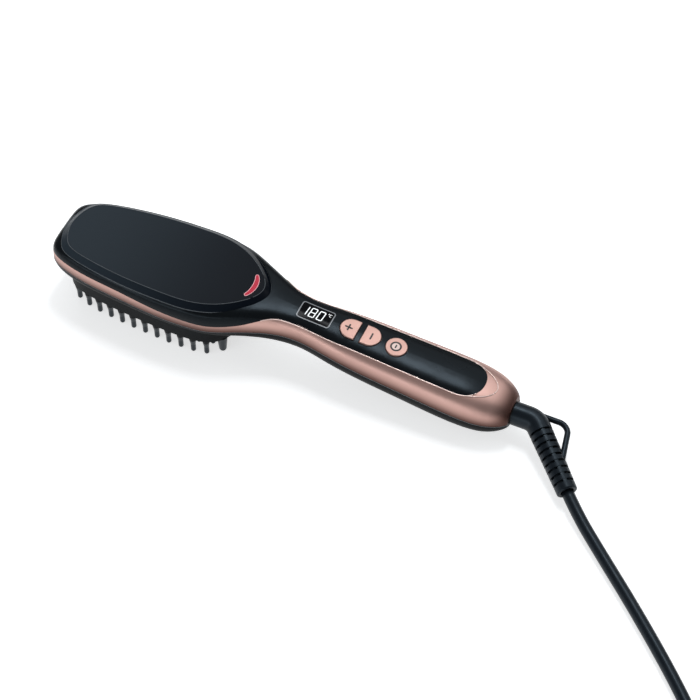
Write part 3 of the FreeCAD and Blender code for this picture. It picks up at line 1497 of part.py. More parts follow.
loop_far = bend_corner + Vector(size.loop_reach, size.loop_offset, 0)
loop_end = loop_far + Vector(size.loop_lean, -size.loop_drop, -size.loop_radius)
loop_path = rounded_path(
    [
        bend_corner + Vector(0, size.loop_offset, 0),
        loop_far - Vector(size.loop_radius * 2, 0, 0),
        loop_far - Vector(-size.loop_lean * size.loop_radius * 2 / size.loop_drop, size.loop_radius * 2, 0),
        loop_end,
    ]
)
loop_bar = tube(loop_path, size.loop_radius)
relief_envelope = sleeve.fuse(
    Part.makeCone(size.sleeve_radius, size.relief_end_radius, size.relief_length, rib_start, relief_heading)
)
piece("hanging_loop", feature("loop_form", loop_bar.cut(relief_envelope)))

# Mains lead on the surface: the stretch that shows, the coil, and the stretch to the plug

cord_radius = size.cord_diameter / 2
relief_end = rib_start + relief_heading * size.relief_length
coil_centre = Vector(size.coil_centre_x, size.coil_centre_y, 0)
coil_low = size.tie_thickness + size.tie_gap + cord_radius
coil_high = coil_low + size.cord_diameter + size.coil_layer_gap
inner_radius = size.coil_radius - size.coil_turns * size.coil_pitch
total_turns = 2 * size.coil_turns + 0.5


def coil_point(turns):
    """Point of the coil after so many turns: in on the surface, up, and out again on top."""
    climb = (turns - size.coil_turns) / 0.5
    if climb <= 0:
        radius = size.coil_radius - size.coil_pitch * turns
        height = coil_low
    elif climb < 1:
        radius = inner_radius + size.coil_pitch * 0.5 * (climb * climb - climb)
        height = blend(coil_low, coil_high, climb * climb * (3 - 2 * climb))
    else:
        radius = inner_radius + size.coil_pitch * (turns - size.coil_turns - 0.5)
        height = coil_high
    angle = math.radians(size.coil_entry) + 2 * math.pi * turns
    return coil_centre + Vector(radius * math.cos(angle), radius * math.sin(angle), height)


def coil_heading(turns):
    step = 1e-4
    heading = coil_point(min(turns + step, total_turns)) - coil_point(max(turns - step, 0))
    heading.normalize()
    return heading


def arc_from(start, heading, end):
    """Arc that leaves a point along a heading and ends at another point."""
    chord = end - start
    bow = chord.dot(heading)
    sideways = heading * (chord.Length * chord.Length / (2 * bow)) - chord
    turn_angle = 2 * heading.getAngle(chord)
    sag = chord.Length / 2 * math.tan(turn_angle / 4)
    sideways = heading - chord * (bow / (chord.Length * chord.Length))
    sideways.normalize()
    return Part.Arc(start, start + chord * 0.5 + sideways * sag, end).toShape()


def biarc(start, first_heading, end, last_heading):
    """Two arcs that meet smoothly between two points with given headings."""
    span = end - start
    headings = first_heading + last_heading
    along = span.dot(headings)
    parting = 2 * (1 - first_heading.dot(last_heading))
    reach = (-along + math.sqrt(along * along + parting * span.dot(span))) / parting
    joint = (start + end + (first_heading - last_heading) * reach) * 0.5
    middle_heading = end - last_heading * reach - (start + first_heading * reach)
    middle_heading.normalize()
    return [arc_from(start, first_heading, joint), arc_from(joint, middle_heading, end)]


quarters = int(round(total_turns * 4))
coil_ends = [
    coil_point(0) - coil_heading(0) * size.cord_diameter,
    coil_point(total_turns) + coil_heading(total_turns) * size.cord_diameter,
]
coil_edges = [Part.LineSegment(coil_ends[0], coil_point(0)).toShape()]
for step in range(quarters):
    begin = step / 4
    finish = (step + 1) / 4
    coil_edges += biarc(coil_point(begin), coil_heading(begin), coil_point(finish), coil_heading(finish))
coil_edges.append(Part.LineSegment(coil_point(total_turns), coil_ends[1]).toShape())
coil_path = Part.Wire(coil_edges)
piece("cord_coil", feature("coil_form", tube(coil_path, cord_radius)))
coil_samples = 360
coil_line = [coil_point(total_turns * step / coil_samples) for step in range(coil_samples + 1)]
skip = int(0.75 * coil_samples / total_turns)
least_gap = min(
    coil_line[first].distanceToPoint(coil_line[second])
    for first in range(coil_samples + 1)
    for second in range(first + skip, coil_samples + 1)
)
print("coil least gap to itself", round(least_gap - size.cord_diameter, 3))

lead_radii = []
lead_route = [relief_end + relief_heading * size.cord_gap, relief_end + relief_heading * size.cord_run]
lead_route += route_points(LEAD_SHARES)
lead_route += [coil_ends[0] - coil_heading(0) * size.cord_run, coil_ends[0]]
lead_path = rounded_path(lead_route, lead_radii)
piece("cord_lead", feature("lead_form", tube(lead_path, cord_radius)))
plug_axis_height = size.plug_thickness / 2
tail_route = [coil_ends[1], coil_ends[1] + coil_heading(total_turns) * size.cord_run]
tail_route += route_points(TAIL_SHARES)
for point in tail_route[-2:]:
    point.z = plug_axis_height
tail_end = tail_route[-1]
tail_radii = []
tail_path = rounded_path(tail_route, tail_radii)
piece("cord_tail", feature("tail_form", tube(tail_path, cord_radius)))
print("lead bend radii", [round(radius, 1) for radius in lead_radii])
print("tail bend radii", [round(radius, 1) for radius in tail_radii])
cord_length = lead_path.Length + coil_path.Length + tail_path.Length
print("cord length", round(cord_length, 1))
for label, path in (("lead", lead_path), ("coil", coil_path), ("tail", tail_path)):
    print(label, "section times length", round(math.pi * cord_radius**2 * path.Length, 1))

# Strap round the coil

tie_angle = size.coil_entry + 90
tie_turn = Rotation(Vector(0, 0, 1), tie_angle)
tie_reach = (size.coil_radius + inner_radius) / 2 - STRAP_SHARE * size.coil_pitch
tie_middle = coil_centre + tie_turn.multVec(Vector(tie_reach, 0, 0))
tie_outer = box(
    "tie_outer",
    Placement(tie_middle, tie_turn),
    "sizes.coil_pitch * sizes.coil_turns + sizes.cord_diameter + 2 * (sizes.tie_gap + sizes.tie_thickness)",
    "sizes.tie_width",
    "2 * sizes.cord_diameter + sizes.coil_layer_gap + 2 * (sizes.tie_gap + sizes.tie_thickness)",
)
tie_inner = box(
    "tie_inner",
    Placement(tie_middle + Vector(0, 0, size.tie_thickness), tie_turn),
    "sizes.coil_pitch * sizes.coil_turns + sizes.cord_diameter + 2 * sizes.tie_gap",
    "2 * sizes.tie_width",
    "2 * sizes.cord_diameter + sizes.coil_layer_gap + 2 * sizes.tie_gap",
)
piece("coil_tie", cut("tie_form", tie_outer, tie_inner))

# Plug on the surface, in line with the end of the cord

plug_heading = tail_end - tail_route[-2]
plug_heading.normalize()
plug_turn = Rotation(Vector(1, 0, 0), plug_heading)
plug_front = Placement(tail_end, plug_turn)
relief_cone = primitive(
    "Cone",
    "plug_cone",
    plug_front.multiply(Placement(Vector(0, 0, 0), Rotation(Vector(0, 1, 0), 90))),
    Radius1="sizes.cord_diameter / 2",
    Radius2="sizes.plug_relief_radius",
    Height="sizes.plug_relief_length",
)
plug_block = box(
    "plug_block",
    plug_front.multiply(
        upright(size.plug_relief_length + size.plug_length / 2, 0, -plug_axis_height)
    ),
    "sizes.plug_length",
    "sizes.plug_width",
    "sizes.plug_thickness",
)
doc.recompute()
plug_rounded = doc.addObject("Part::Fillet", "plug_rounded")
plug_rounded.Base = plug_block
plug_rounded.Edges = [
    (number, size.plug_rounding, size.plug_rounding) for number in range(1, len(plug_block.Shape.Edges) + 1)
]
pin_sockets = []
pins = []
for number, side in enumerate((1, -1)):
    face_place = plug_front.multiply(
        Placement(
            Vector(size.plug_relief_length + size.plug_length, side * size.pin_spacing / 2, 0),
            Rotation(Vector(0, 1, 0), 90),
        )
    )
    seat_place = face_place.multiply(upright(0, 0, -size.pin_seat))
    pin_sockets.append(cylinder(f"pin_socket_{number}", seat_place, "sizes.pin_seat_radius", "sizes.pin_seat"))
    seat = cylinder(f"pin_seat_{number}", seat_place, "sizes.pin_seat_radius", "sizes.pin_seat")
    shaft = cylinder(f"pin_shaft_{number}", face_place, "sizes.pin_radius", "sizes.pin_length")
    pins.append(fuse(f"pin_{number}", [seat, shaft]))
plug_solid = fuse("plug_solid", [plug_rounded, relief_cone])
piece("plug_body", cut("plug_form", plug_solid, fuse("pin_sockets", pin_sockets)))
piece("plug_pins", group("pin_group", pins))

# Every object is checked before anything is written

doc.recompute()
for made in doc.Objects:
    if "Invalid" in made.State or "Error" in made.State:
        raise RuntimeError(f"{made.Name} failed: {made.State}")
for made in pieces:
    if made.Shape.isNull() or not made.Shape.isValid() or not made.Shape.Solids:
        raise RuntimeError(f"{made.Label} has no sound shape")
os.makedirs("parts", exist_ok=True)
for made in pieces:
    made.Shape.exportStep(f"parts/{made.Label}.step")
print(len(pieces), "pieces written")
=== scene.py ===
import math

import bmesh
import bpy
from mathutils import Matrix, Vector


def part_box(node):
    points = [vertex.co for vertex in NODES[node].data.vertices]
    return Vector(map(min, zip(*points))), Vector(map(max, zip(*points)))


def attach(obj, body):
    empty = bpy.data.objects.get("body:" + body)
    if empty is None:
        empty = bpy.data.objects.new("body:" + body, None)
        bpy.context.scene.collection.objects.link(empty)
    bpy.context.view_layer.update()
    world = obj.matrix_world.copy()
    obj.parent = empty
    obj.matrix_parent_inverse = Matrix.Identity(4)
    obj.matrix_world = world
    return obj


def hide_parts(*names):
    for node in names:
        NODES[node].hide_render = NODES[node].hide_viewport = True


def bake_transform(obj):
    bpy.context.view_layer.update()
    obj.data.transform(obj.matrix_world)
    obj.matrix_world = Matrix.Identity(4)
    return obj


bl_info = {
    "name": "Hair Straightening Brush",
    "version": (1, 0, 0),
    "blender": (4, 5, 0),
    "location": "View3D > Sidebar > Brush",
    "description": "Dresses the brush with its finishes, signs, mains lead and studio",
    "category": "Object",
}

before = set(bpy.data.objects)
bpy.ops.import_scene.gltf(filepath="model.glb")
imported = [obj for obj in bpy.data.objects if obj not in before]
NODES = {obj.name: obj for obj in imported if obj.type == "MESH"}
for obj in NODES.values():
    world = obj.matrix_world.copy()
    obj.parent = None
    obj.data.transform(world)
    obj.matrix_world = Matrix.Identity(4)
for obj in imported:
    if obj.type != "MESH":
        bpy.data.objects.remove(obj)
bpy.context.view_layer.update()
MM = 0.001


# Settings


class BrushSizes(bpy.types.PropertyGroup):
    """Sizes of what the dressing adds to the solids"""

    def length(name, description, metres):
        return bpy.props.FloatProperty(
            name=name, description=description, default=metres, min=0, unit="LENGTH", precision=5
        )

    cord_diameter: length("Cord diameter", "Mains lead", 0.0072)
    cord_length: length("Cord length", "Whole mains lead", 1.85)
    digit_height: length("Digit height", "Digits of the display", 0.0070)
    digit_width: length("Digit width", "Digits of the display", 0.0038)
    digit_pitch: length("Digit pitch", "From digit to digit", 0.0051)
    digit_stroke: length("Digit stroke", "Bars of the digits", 0.0006)
    sign_length: length("Sign length", "Plus and minus signs", 0.0048)
    sign_stroke: length("Sign stroke", "Bars of the signs on the keys", 0.0010)
    power_ring: length("Power ring", "Radius of the ring on the power key", 0.0034)
    print_rise: length("Print rise", "Signs and digits over their surface", 0.00006)
    # The beads along the edges of the cover, the lip, the crest and the parting line are coloured as
    # painted highlights
    edge_bead: length("Edge bead", "Radius of the polished edges of the cover", 0.00022)
    lip_bead: length("Lip bead", "Radius of the bright lip beside the insert", 0.00034)
    rim_bead: length("Rim bead", "Radius of the pale edge of the crescent light", 0.00018)
    lip_rise: length("Lip rise", "How far the lip and the crest stand out of the trim", 0.00014)
    crest_bead: length("Crest bead", "Radius of the line round the end of the insert", 0.00032)
    parting_bead: length("Parting bead", "Radius of the line under the trim", 0.00022)


class BrushColours(bpy.types.PropertyGroup):
    """Colours of the finishes"""

    def shade(name, description, rgb):
        return bpy.props.FloatVectorProperty(
            name=name, description=description, subtype="COLOR", size=3, min=0, max=1, default=rgb
        )

    housing: shade("Housing", "Black satin shells", (0.005, 0.006, 0.007))
    # Painted reflection: lighter colour that the panel is blended to at the tip
    panel_tip_painted_reflection: shade("Panel at the tip", "Cover of the head, at its tip", (0.027, 0.037, 0.047))
    panel_neck: shade("Panel at the neck", "Cover of the head, at the neck", (0.003, 0.005, 0.009))
    # Painted highlight of the beads along the edges of the cover
    painted_edge_highlight: shade("Painted edge highlight", "Bright edges of the cover", (0.10, 0.11, 0.12))
    rose_gold: shade("Rose gold", "Plated trim", (0.60, 0.37, 0.32))
    # Painted shade that the plating is mixed towards at the lower edge and the heel of the trim
    painted_rose_shade: shade("Rose gold painted shade", "Lower edge of the plated trim", (0.10, 0.046, 0.036))
    key_gold: shade("Key rose gold", "Plated keys", (0.38, 0.225, 0.19))
    # Painted highlight of the lip and crest beads; the pale disc on the power key takes its colour from
    # it
    lip: shade("Lip", "Bright lip of the trim beside the insert", (0.86, 0.66, 0.60))
    # Painted highlight of the bead along the parting edge under the trim
    parting: shade("Parting line", "Line under the trim", (0.16, 0.16, 0.17))
    crescent: shade("Crescent", "Light in the cover", (0.45, 0.010, 0.035))
    crescent_rim: shade("Crescent rim", "Pale edge of that light", (0.95, 0.50, 0.53))
    bristle: shade("Bristle", "Bristles and their plate", (0.010, 0.011, 0.012))
    rubber: shade("Rubber", "Mains lead and strain relief", (0.006, 0.008, 0.011))
    bezel: shade("Bezel", "Frame of the display", (0.30, 0.31, 0.33))
    glass: shade("Display glass", "Dark glass of the display", (0.003, 0.003, 0.004))
    digits: shade("Digits", "Lit digits of the display", (0.92, 0.94, 0.95))
    sign: shade("Sign", "Signs on the keys", (0.006, 0.005, 0.005))
    floor: shade("Floor", "Studio floor", (0.86, 0.86, 0.86))


def sizes():
    return bpy.context.scene.brush_sizes


def colours():
    return bpy.context.scene.brush_colours


# Places along the brush: slope of the grip's crown, start of grip and lip, insert's round end, heel

GRIP_PITCH = math.radians(4.48)
GRIP_START_X = 17 * MM
LIP_START_X = -30 * MM
INSERT_END_X = 104 * MM
HEEL_X = 145 * MM

# Lower edge of the trim: its height at the head, and how it falls along the grip

PARTING_Z = 28.0 * MM
PARTING_FALL = 14 / 128


# Selection and small modelling helpers

# Limits for picking edges and faces, distance for merging points, and fineness of round pieces

UPRIGHT = 0.9
SHARP_ANGLE = math.radians(20)
SQUARE_ANGLE = math.radians(60)
MERGE_DISTANCE = 1e-6
ROUND_SIDES = 48
CURVE_STEPS = 6


def only(obj):
    """Leaves one object selected and active."""
    bpy.ops.object.select_all(action="DESELECT")
    obj.select_set(True)
    bpy.context.view_layer.objects.active = obj


def pick(obj, kind, test):
    """Opens an object in edit mode, with those edges or faces selected that pass a test."""
    only(obj)
    bpy.ops.object.mode_set(mode="EDIT")
    bpy.ops.mesh.select_mode(type=kind)
    bpy.ops.mesh.select_all(action="DESELECT")
    shape = bmesh.from_edit_mesh(obj.data)
    for item in shape.edges if kind == "EDGE" else shape.faces:
        item.select = test(item)
    bmesh.update_edit_mesh(obj.data)


def settle(obj, place):
    """Moves a finished piece to its place and keeps that place in its mesh."""
    obj.data.transform(place @ obj.matrix_world)
    obj.matrix_world = Matrix.Identity(4)


def joined(name, parts):
    """Joins parts into one named piece."""
    bpy.ops.object.select_all(action="DESELECT")
    for part in parts:
        part.select_set(True)
    bpy.context.view_layer.objects.active = parts[0]
    if len(parts) > 1:
        bpy.ops.object.join()
    whole = bpy.context.view_layer.objects.active
    whole.name = name
    whole.data.name = name
    return whole


def coat(piece, material):
    """Leaves a piece with one material."""
    piece.data.materials.clear()
    piece.data.materials.append(material)


def dress(material, *names):
    """Gives CAD nodes a material."""
    for name in names:
        coat(NODES[name], material)


def new_curve(name):
    """Curve in space, without a spline."""
    curve = bpy.data.curves.new(name, "CURVE")
    curve.dimensions = "3D"
    curve.resolution_u = CURVE_STEPS
    return curve


def linked(name, data):
    """New object in the scene."""
    obj = bpy.data.objects.new(name, data)
    bpy.context.scene.collection.objects.link(obj)
    return obj


def round_edges(piece, width, turns):
    """Bevels the edges of a piece where its faces meet squarely."""
    pick(piece, "EDGE", lambda edge: edge.calc_face_angle(0) > SQUARE_ANGLE)
    bpy.ops.mesh.bevel(offset=width, segments=turns, affect="EDGES")
    bpy.ops.object.mode_set(mode="OBJECT")


def ring(radius, stroke, depth):
    """Square ring, cut from a cylinder."""
    bpy.ops.object.select_all(action="DESELECT")
    bpy.ops.mesh.primitive_cylinder_add(vertices=ROUND_SIDES, radius=radius, depth=depth)
    piece = bpy.context.active_object
    pick(piece, "FACE", lambda face: abs(face.normal.z) > UPRIGHT)
    bpy.ops.mesh.inset(thickness=stroke)
    bpy.ops.mesh.bridge_edge_loops()
    bpy.ops.object.mode_set(mode="OBJECT")
    return piece


def ring_sign(radius, stroke):
    """Flat ring, half sunk in the surface it is printed on."""
    return ring(radius, stroke, 2 * sizes().print_rise)


def bar(place, extent, corner=0.3, turns=2):
    """Flat bar with rounded corners, half sunk in the surface it is printed on."""
    bpy.ops.object.select_all(action="DESELECT")
    bpy.ops.mesh.primitive_cube_add(
        size=1, location=(*place, 0), scale=(*extent, 2 * sizes().print_rise)
    )
    bpy.ops.object.transform_apply(location=True, rotation=True, scale=True)
    piece = bpy.context.active_object

    def upright(edge):
        return abs((edge.verts[0].co - edge.verts[1].co).normalized().z) > UPRIGHT

    pick(piece, "EDGE", upright)
    bpy.ops.mesh.bevel(offset=min(extent) * corner, segments=turns, affect="EDGES")
    bpy.ops.object.mode_set(mode="OBJECT")
    return piece


def edge_line(name, node, keeps, radius, material):
    """Fine round bead along the sharp edges of a CAD node that a test keeps."""
    line = linked(name, NODES[node].data.copy())
    line.data.materials.clear()
    only(line)
    bpy.ops.object.mode_set(mode="EDIT")
    bpy.ops.mesh.select_all(action="SELECT")
    bpy.ops.mesh.remove_doubles(threshold=MERGE_DISTANCE)
    bpy.ops.object.mode_set(mode="OBJECT")

    def surplus(edge):
        sharp = len(edge.link_faces) == 2 and edge.calc_face_angle(0) > SHARP_ANGLE
        return not (sharp and keeps(edge.verts[0].co, edge.verts[1].co))

    pick(line, "EDGE", surplus)
    bpy.ops.mesh.delete(type="EDGE")
    bpy.ops.mesh.select_all(action="SELECT")
    bpy.ops.mesh.delete_loose(use_verts=True, use_edges=False, use_faces=False)
    bpy.ops.object.mode_set(mode="OBJECT")
    if not line.data.edges:
        raise RuntimeError(f"no edge found for {name}")
    bpy.ops.object.convert(target="CURVE")
    return bead(bpy.context.active_object, name, radius, material)


def bead(line, name, radius, material):
    """Turns a curve into a round bead."""
    line.data.bevel_depth = radius
    line.data.bevel_resolution = 1
    line.data.use_fill_caps = True
    only(line)
    bpy.ops.object.convert(target="MESH")
    piece = bpy.context.active_object
    piece.name = name
    piece.data.name = name
    coat(piece, material)
    bpy.ops.object.shade_smooth()
    return piece


# Shader nodes


def math_node(tree, operation, first, second):
    """Output of a math node on a socket and a second socket or number."""
    node = tree.nodes.new("ShaderNodeMath")
    node.operation = operation
    tree.links.new(first, node.inputs[0])
    if isinstance(second, (int, float)):
        node.inputs[1].default_value = second
    else:
        tree.links.new(second, node.inputs[1])
    return node.outputs[0]


def colour_mix(tree, share, first, second):
    """Colour between two others, each a socket or a plain colour."""
    mix = tree.nodes.new("ShaderNodeMix")
    mix.data_type = "RGBA"
    tree.links.new(share, mix.inputs["Factor"])
    for label, colour in (("A", first), ("B", second)):
        if isinstance(colour, bpy.types.NodeSocket):
            tree.links.new(colour, mix.inputs[label])
        else:
            mix.inputs[label].default_value = (*colour, 1)
    return mix.outputs["Result"]


def eased(tree, value, zero_at, one_at):
    """Share of the way that a value has gone from one place to another, eased at both ends."""
    run = tree.nodes.new("ShaderNodeMapRange")
    run.interpolation_type = "SMOOTHSTEP"
    run.inputs["From Min"].default_value = zero_at
    run.inputs["From Max"].default_value = one_at
    tree.links.new(value, run.inputs["Value"])
    return run.outputs["Result"]


def object_axes(tree):
    """Object coordinates as the outputs X, Y and Z."""
    place = tree.nodes.new("ShaderNodeTexCoord")
    split = tree.nodes.new("ShaderNodeSeparateXYZ")
    tree.links.new(place.outputs["Object"], split.inputs[0])
    return split.outputs


def noise(tree, scale_socket, detail, roughness):
    """Noise on Object coordinates."""
    place = tree.nodes.new("ShaderNodeTexCoord")
    pattern = tree.nodes.new("ShaderNodeTexNoise")
    pattern.inputs["Detail"].default_value = detail
    pattern.inputs["Roughness"].default_value = roughness
    tree.links.new(place.outputs["Object"], pattern.inputs["Vector"])
    tree.links.new(scale_socket, pattern.inputs["Scale"])
    return pattern.outputs["Fac"]


# Shared shader effects

# Part of the noise that the gloss is spread over

SMEAR_RANGE = (0.3, 0.7)


def group_tree(name, inputs, outputs):
    """Empty shader node group with named sockets."""
    tree = bpy.data.node_groups.new(name, "ShaderNodeTree")
    for label, kind, value in inputs:
        socket = tree.interface.new_socket(label, in_out="INPUT", socket_type=kind)
        socket.default_value = value
    for label, kind in outputs:
        tree.interface.new_socket(label, in_out="OUTPUT", socket_type=kind)
    start = tree.nodes.new("NodeGroupInput")
    end = tree.nodes.new("NodeGroupOutput")
    return tree, start.outputs, end.inputs


def grain_effect():
    """Fine moulded texture as a height."""
    tree, given, result = group_tree(
        "Moulded grain",
        [("Scale", "NodeSocketFloat", 2500.0), ("Depth", "NodeSocketFloat", 1.0)],
        [("Height", "NodeSocketFloat")],
    )
    fine = noise(tree, given["Scale"], detail=3.0, roughness=0.6)
    tree.links.new(math_node(tree, "MULTIPLY", fine, given["Depth"]), result["Height"])
    return tree


def tone_effect():
    """Slow drift of a colour towards a second one."""
    tree, given, result = group_tree(
        "Tone drift",
        [
            ("Colour", "NodeSocketColor", (0.5, 0.5, 0.5, 1)),
            ("Second colour", "NodeSocketColor", (0.4, 0.4, 0.4, 1)),
            ("Scale", "NodeSocketFloat", 30.0),
            ("Share", "NodeSocketFloat", 0.5),
        ],
        [("Colour", "NodeSocketColor")],
    )
    drift = noise(tree, given["Scale"], detail=2.0, roughness=0.5)
    share = math_node(tree, "MULTIPLY", drift, given["Share"])
    tone = colour_mix(tree, share, given["Colour"], given["Second colour"])
    tree.links.new(tone, result["Colour"])
    return tree


def gloss_effect():
    """Roughness that wanders between two values, as on a handled surface."""
    tree, given, result = group_tree(
        "Handled gloss",
        [
            ("Low", "NodeSocketFloat", 0.3),
            ("High", "NodeSocketFloat", 0.4),
            ("Scale", "NodeSocketFloat", 60.0),
        ],
        [("Roughness", "NodeSocketFloat")],
    )
    smear = noise(tree, given["Scale"], detail=4.0, roughness=0.6)
    spread = tree.nodes.new("ShaderNodeMapRange")
    spread.inputs["From Min"].default_value = SMEAR_RANGE[0]
    spread.inputs["From Max"].default_value = SMEAR_RANGE[1]
    tree.links.new(smear, spread.inputs["Value"])
    tree.links.new(given["Low"], spread.inputs["To Min"])
    tree.links.new(given["High"], spread.inputs["To Max"])
    tree.links.new(spread.outputs["Result"], result["Roughness"])
    return tree


EFFECTS = {}


def effect(tree, name, **values):
    """Places a shared effect in a material with its own values."""
    if name not in EFFECTS:
        makers = {"grain": grain_effect, "tone": tone_effect, "gloss": gloss_effect}
        EFFECTS[name] = makers[name]()
    node = tree.nodes.new("ShaderNodeGroup")
    node.node_tree = EFFECTS[name]
    for label, value in values.items():
        node.inputs[label.replace("_", " ").capitalize()].default_value = value
    return node


# Finishes

# Tint of the highlights, plain and on the black pieces

PLAIN_SHEEN = (1, 1, 1)
COOL_SHEEN = (0.70, 0.86, 1.0)


def scaled(colour, share):
    return tuple(part * share for part in colour)


def shader_of(material):
    return material.node_tree.nodes["Principled BSDF"]


def finish_material(
    name,
    colour,
    second,
    drift,
    gloss,
    grain,
    metallic=0.0,
    specular=0.5,
    tone_scale=30.0,
    sheen=PLAIN_SHEEN,
):
    """Material with a tone that drifts to a second colour, wandering gloss and fine grain.

    Gloss is the lowest and the highest roughness and the scale of its smears. Grain is the scale,
    the strength and the depth of its bumps.
    """
    material = bpy.data.materials.new(name)
    material.use_nodes = True
    tree = material.node_tree
    shader = shader_of(material)
    shader.inputs["Metallic"].default_value = metallic
    shader.inputs["Specular IOR Level"].default_value = specular
    shader.inputs["Specular Tint"].default_value = (*sheen, 1)
    tone = effect(
        tree,
        "tone",
        colour=(*colour, 1),
        second_colour=(*second, 1),
        scale=tone_scale,
        share=drift,
    )
    tree.links.new(tone.outputs["Colour"], shader.inputs["Base Color"])
    low, high, smear_scale = gloss
    rough = effect(tree, "gloss", low=low, high=high, scale=smear_scale)
    tree.links.new(rough.outputs["Roughness"], shader.inputs["Roughness"])
    grain_scale, strength, depth = grain
    texture = effect(tree, "grain", scale=grain_scale, depth=1.0)
    bump = tree.nodes.new("ShaderNodeBump")
    bump.inputs["Strength"].default_value = strength
    bump.inputs["Distance"].default_value = depth
    tree.links.new(texture.outputs["Height"], bump.inputs["Height"])
    tree.links.new(bump.outputs["Normal"], shader.inputs["Normal"])
    return material


def light_up(material, colour, strength):
    """Lets a finish glow by itself."""
    shader = shader_of(material)
    shader.inputs["Emission Color"].default_value = (*colour, 1)
    shader.inputs["Emission Strength"].default_value = strength


# Operators

# How far the painted shade on the lower edge of the trim reaches up, and the painted shade on its heel
# towards the head

PAINTED_SHADE_HEIGHT = 8.5 * MM
PAINTED_SHADE_LENGTH = 11 * MM


class BRUSH_OT_shells(bpy.types.Operator):
    """Finishes the three shells"""

    bl_idname = "brush.shells"
    bl_label = "Shells"

    def execute(self, context):
        shade = colours()
        black = finish_material(
            "Satin black",
            shade.housing,
            scaled(shade.housing, 1.5),
            drift=0.6,
            gloss=(0.22, 0.29, 45.0),
            grain=(2600.0, 0.06, 0.00004),
            specular=0.12,
            sheen=COOL_SHEEN,
        )
        dress(black, "upper_housing")
        underside = finish_material(
            "Moulded black",
            shade.housing,
            scaled(shade.housing, 1.5),
            drift=0.6,
            gloss=(0.36, 0.46, 45.0),
            grain=(1900.0, 0.12, 0.00005),
            specular=0.05,
        )
        dress(underside, "lower_housing")
        gold = finish_material(
            "Rose gold",
            shade.rose_gold,
            scaled(shade.rose_gold, 0.86),
            drift=0.8,
            gloss=(0.42, 0.50, 70.0),
            grain=(5200.0, 0.16, 0.00003),
            metallic=0.92,
        )
        # Painted shade on the lower edge and the heel of the trim
        paint_shade_on_low_edge(gold)
        dress(gold, "trim_frame")
        return {"FINISHED"}


def paint_shade_on_low_edge(material):
    """Paints shade into the plating towards the lower edge of the trim and towards the heel."""
    tree = material.node_tree
    base = shader_of(material).inputs["Base Color"]
    tone = base.links[0].from_socket
    axes = object_axes(tree)
    along = math_node(tree, "SUBTRACT", axes["X"], GRIP_START_X)
    along = math_node(tree, "MAXIMUM", along, 0)
    fall = math_node(tree, "MULTIPLY", along, PARTING_FALL)
    height = math_node(tree, "ADD", axes["Z"], fall)
    over_edge = eased(tree, height, PARTING_Z, PARTING_Z + PAINTED_SHADE_HEIGHT)
    before_heel = eased(tree, axes["X"], HEEL_X, HEEL_X - PAINTED_SHADE_LENGTH)
    lit = math_node(tree, "MULTIPLY", over_edge, before_heel)
    tree.links.new(colour_mix(tree, lit, colours().painted_rose_shade, tone), base)


# Edges of the cover: depth of the upper ones, depths of the outer one, and bare room round the light

TOP_BAND = 0.2 * MM
OUTER_EDGE_DEPTHS = (2.8 * MM, 3.4 * MM)
LIGHT_ROOM = 1 * MM

# Light that the crescent and its rim give off

CRESCENT_GLOW = 0.35
CRESCENT_RIM_GLOW = 0.30


class BRUSH_OT_cover(bpy.types.Operator):
    """Finishes the cover of the head, the beads along its edges with a painted highlight, and the
    crescent light
    """

    bl_idname = "brush.cover"
    bl_label = "Cover"

    def execute(self, context):
        shade = colours()
        dress(panel_material(), "head_cover")
        red = finish_material(
            "Crescent light",
            shade.crescent,
            shade.crescent_rim,
            drift=0.12,
            gloss=(0.18, 0.26, 80.0),
            grain=(1500.0, 0.05, 0.00003),
            specular=0.15,
            tone_scale=600.0,
        )
        light_up(red, shade.crescent, CRESCENT_GLOW)
        dress(red, "ion_light_window")
        # Painted highlight on beads along real edges of the cover
        painted_edge_highlight = finish_material(
            "Painted edge highlight",
            shade.painted_edge_highlight,
            scaled(shade.painted_edge_highlight, 1.4),
            drift=0.5,
            gloss=(0.40, 0.50, 80.0),
            grain=(2600.0, 0.05, 0.00003),
            specular=0.1,
        )
        pale = finish_material(
            "Crescent rim",
            shade.crescent_rim,
            scaled(shade.crescent_rim, 0.8),
            drift=0.5,
            gloss=(0.20, 0.30, 90.0),
            grain=(1500.0, 0.05, 0.00003),
        )
        light_up(pale, shade.crescent_rim, CRESCENT_RIM_GLOW)
        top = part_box("head_cover")[1][2]
        light_low, light_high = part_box("ion_light_window")
        upper_depth, lower_depth = OUTER_EDGE_DEPTHS

        def at_light(point):
            return all(
                light_low[axis] - LIGHT_ROOM < point[axis] < light_high[axis] + LIGHT_ROOM
                for axis in (0, 1)
            )

        def on_flat(low, high):
            return min(low.z, high.z) > top - TOP_BAND and not at_light((low + high) / 2)

        def on_outside(low, high):
            heights = (low.z, high.z)
            return top - lower_depth < min(heights) and max(heights) < top - upper_depth

        def on_light(low, high):
            return min(low.z, high.z) > light_high[2] - TOP_BAND

        bead_size, rim_size = sizes().edge_bead, sizes().rim_bead
        flat_edge = edge_line("cover_flat_edge", "head_cover", on_flat, bead_size, painted_edge_highlight)
        outer_edge = edge_line("cover_outer_edge", "head_cover", on_outside, bead_size, painted_edge_highlight)
        light_edge = edge_line("crescent_edge", "ion_light_window", on_light, rim_size, pale)
        for piece, finish in (
            (flat_edge, "charcoal_panel"),
            (outer_edge, "charcoal_panel"),
            (light_edge, "red_window"),
        ):
            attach(piece, "housing")
        return {"FINISHED"}


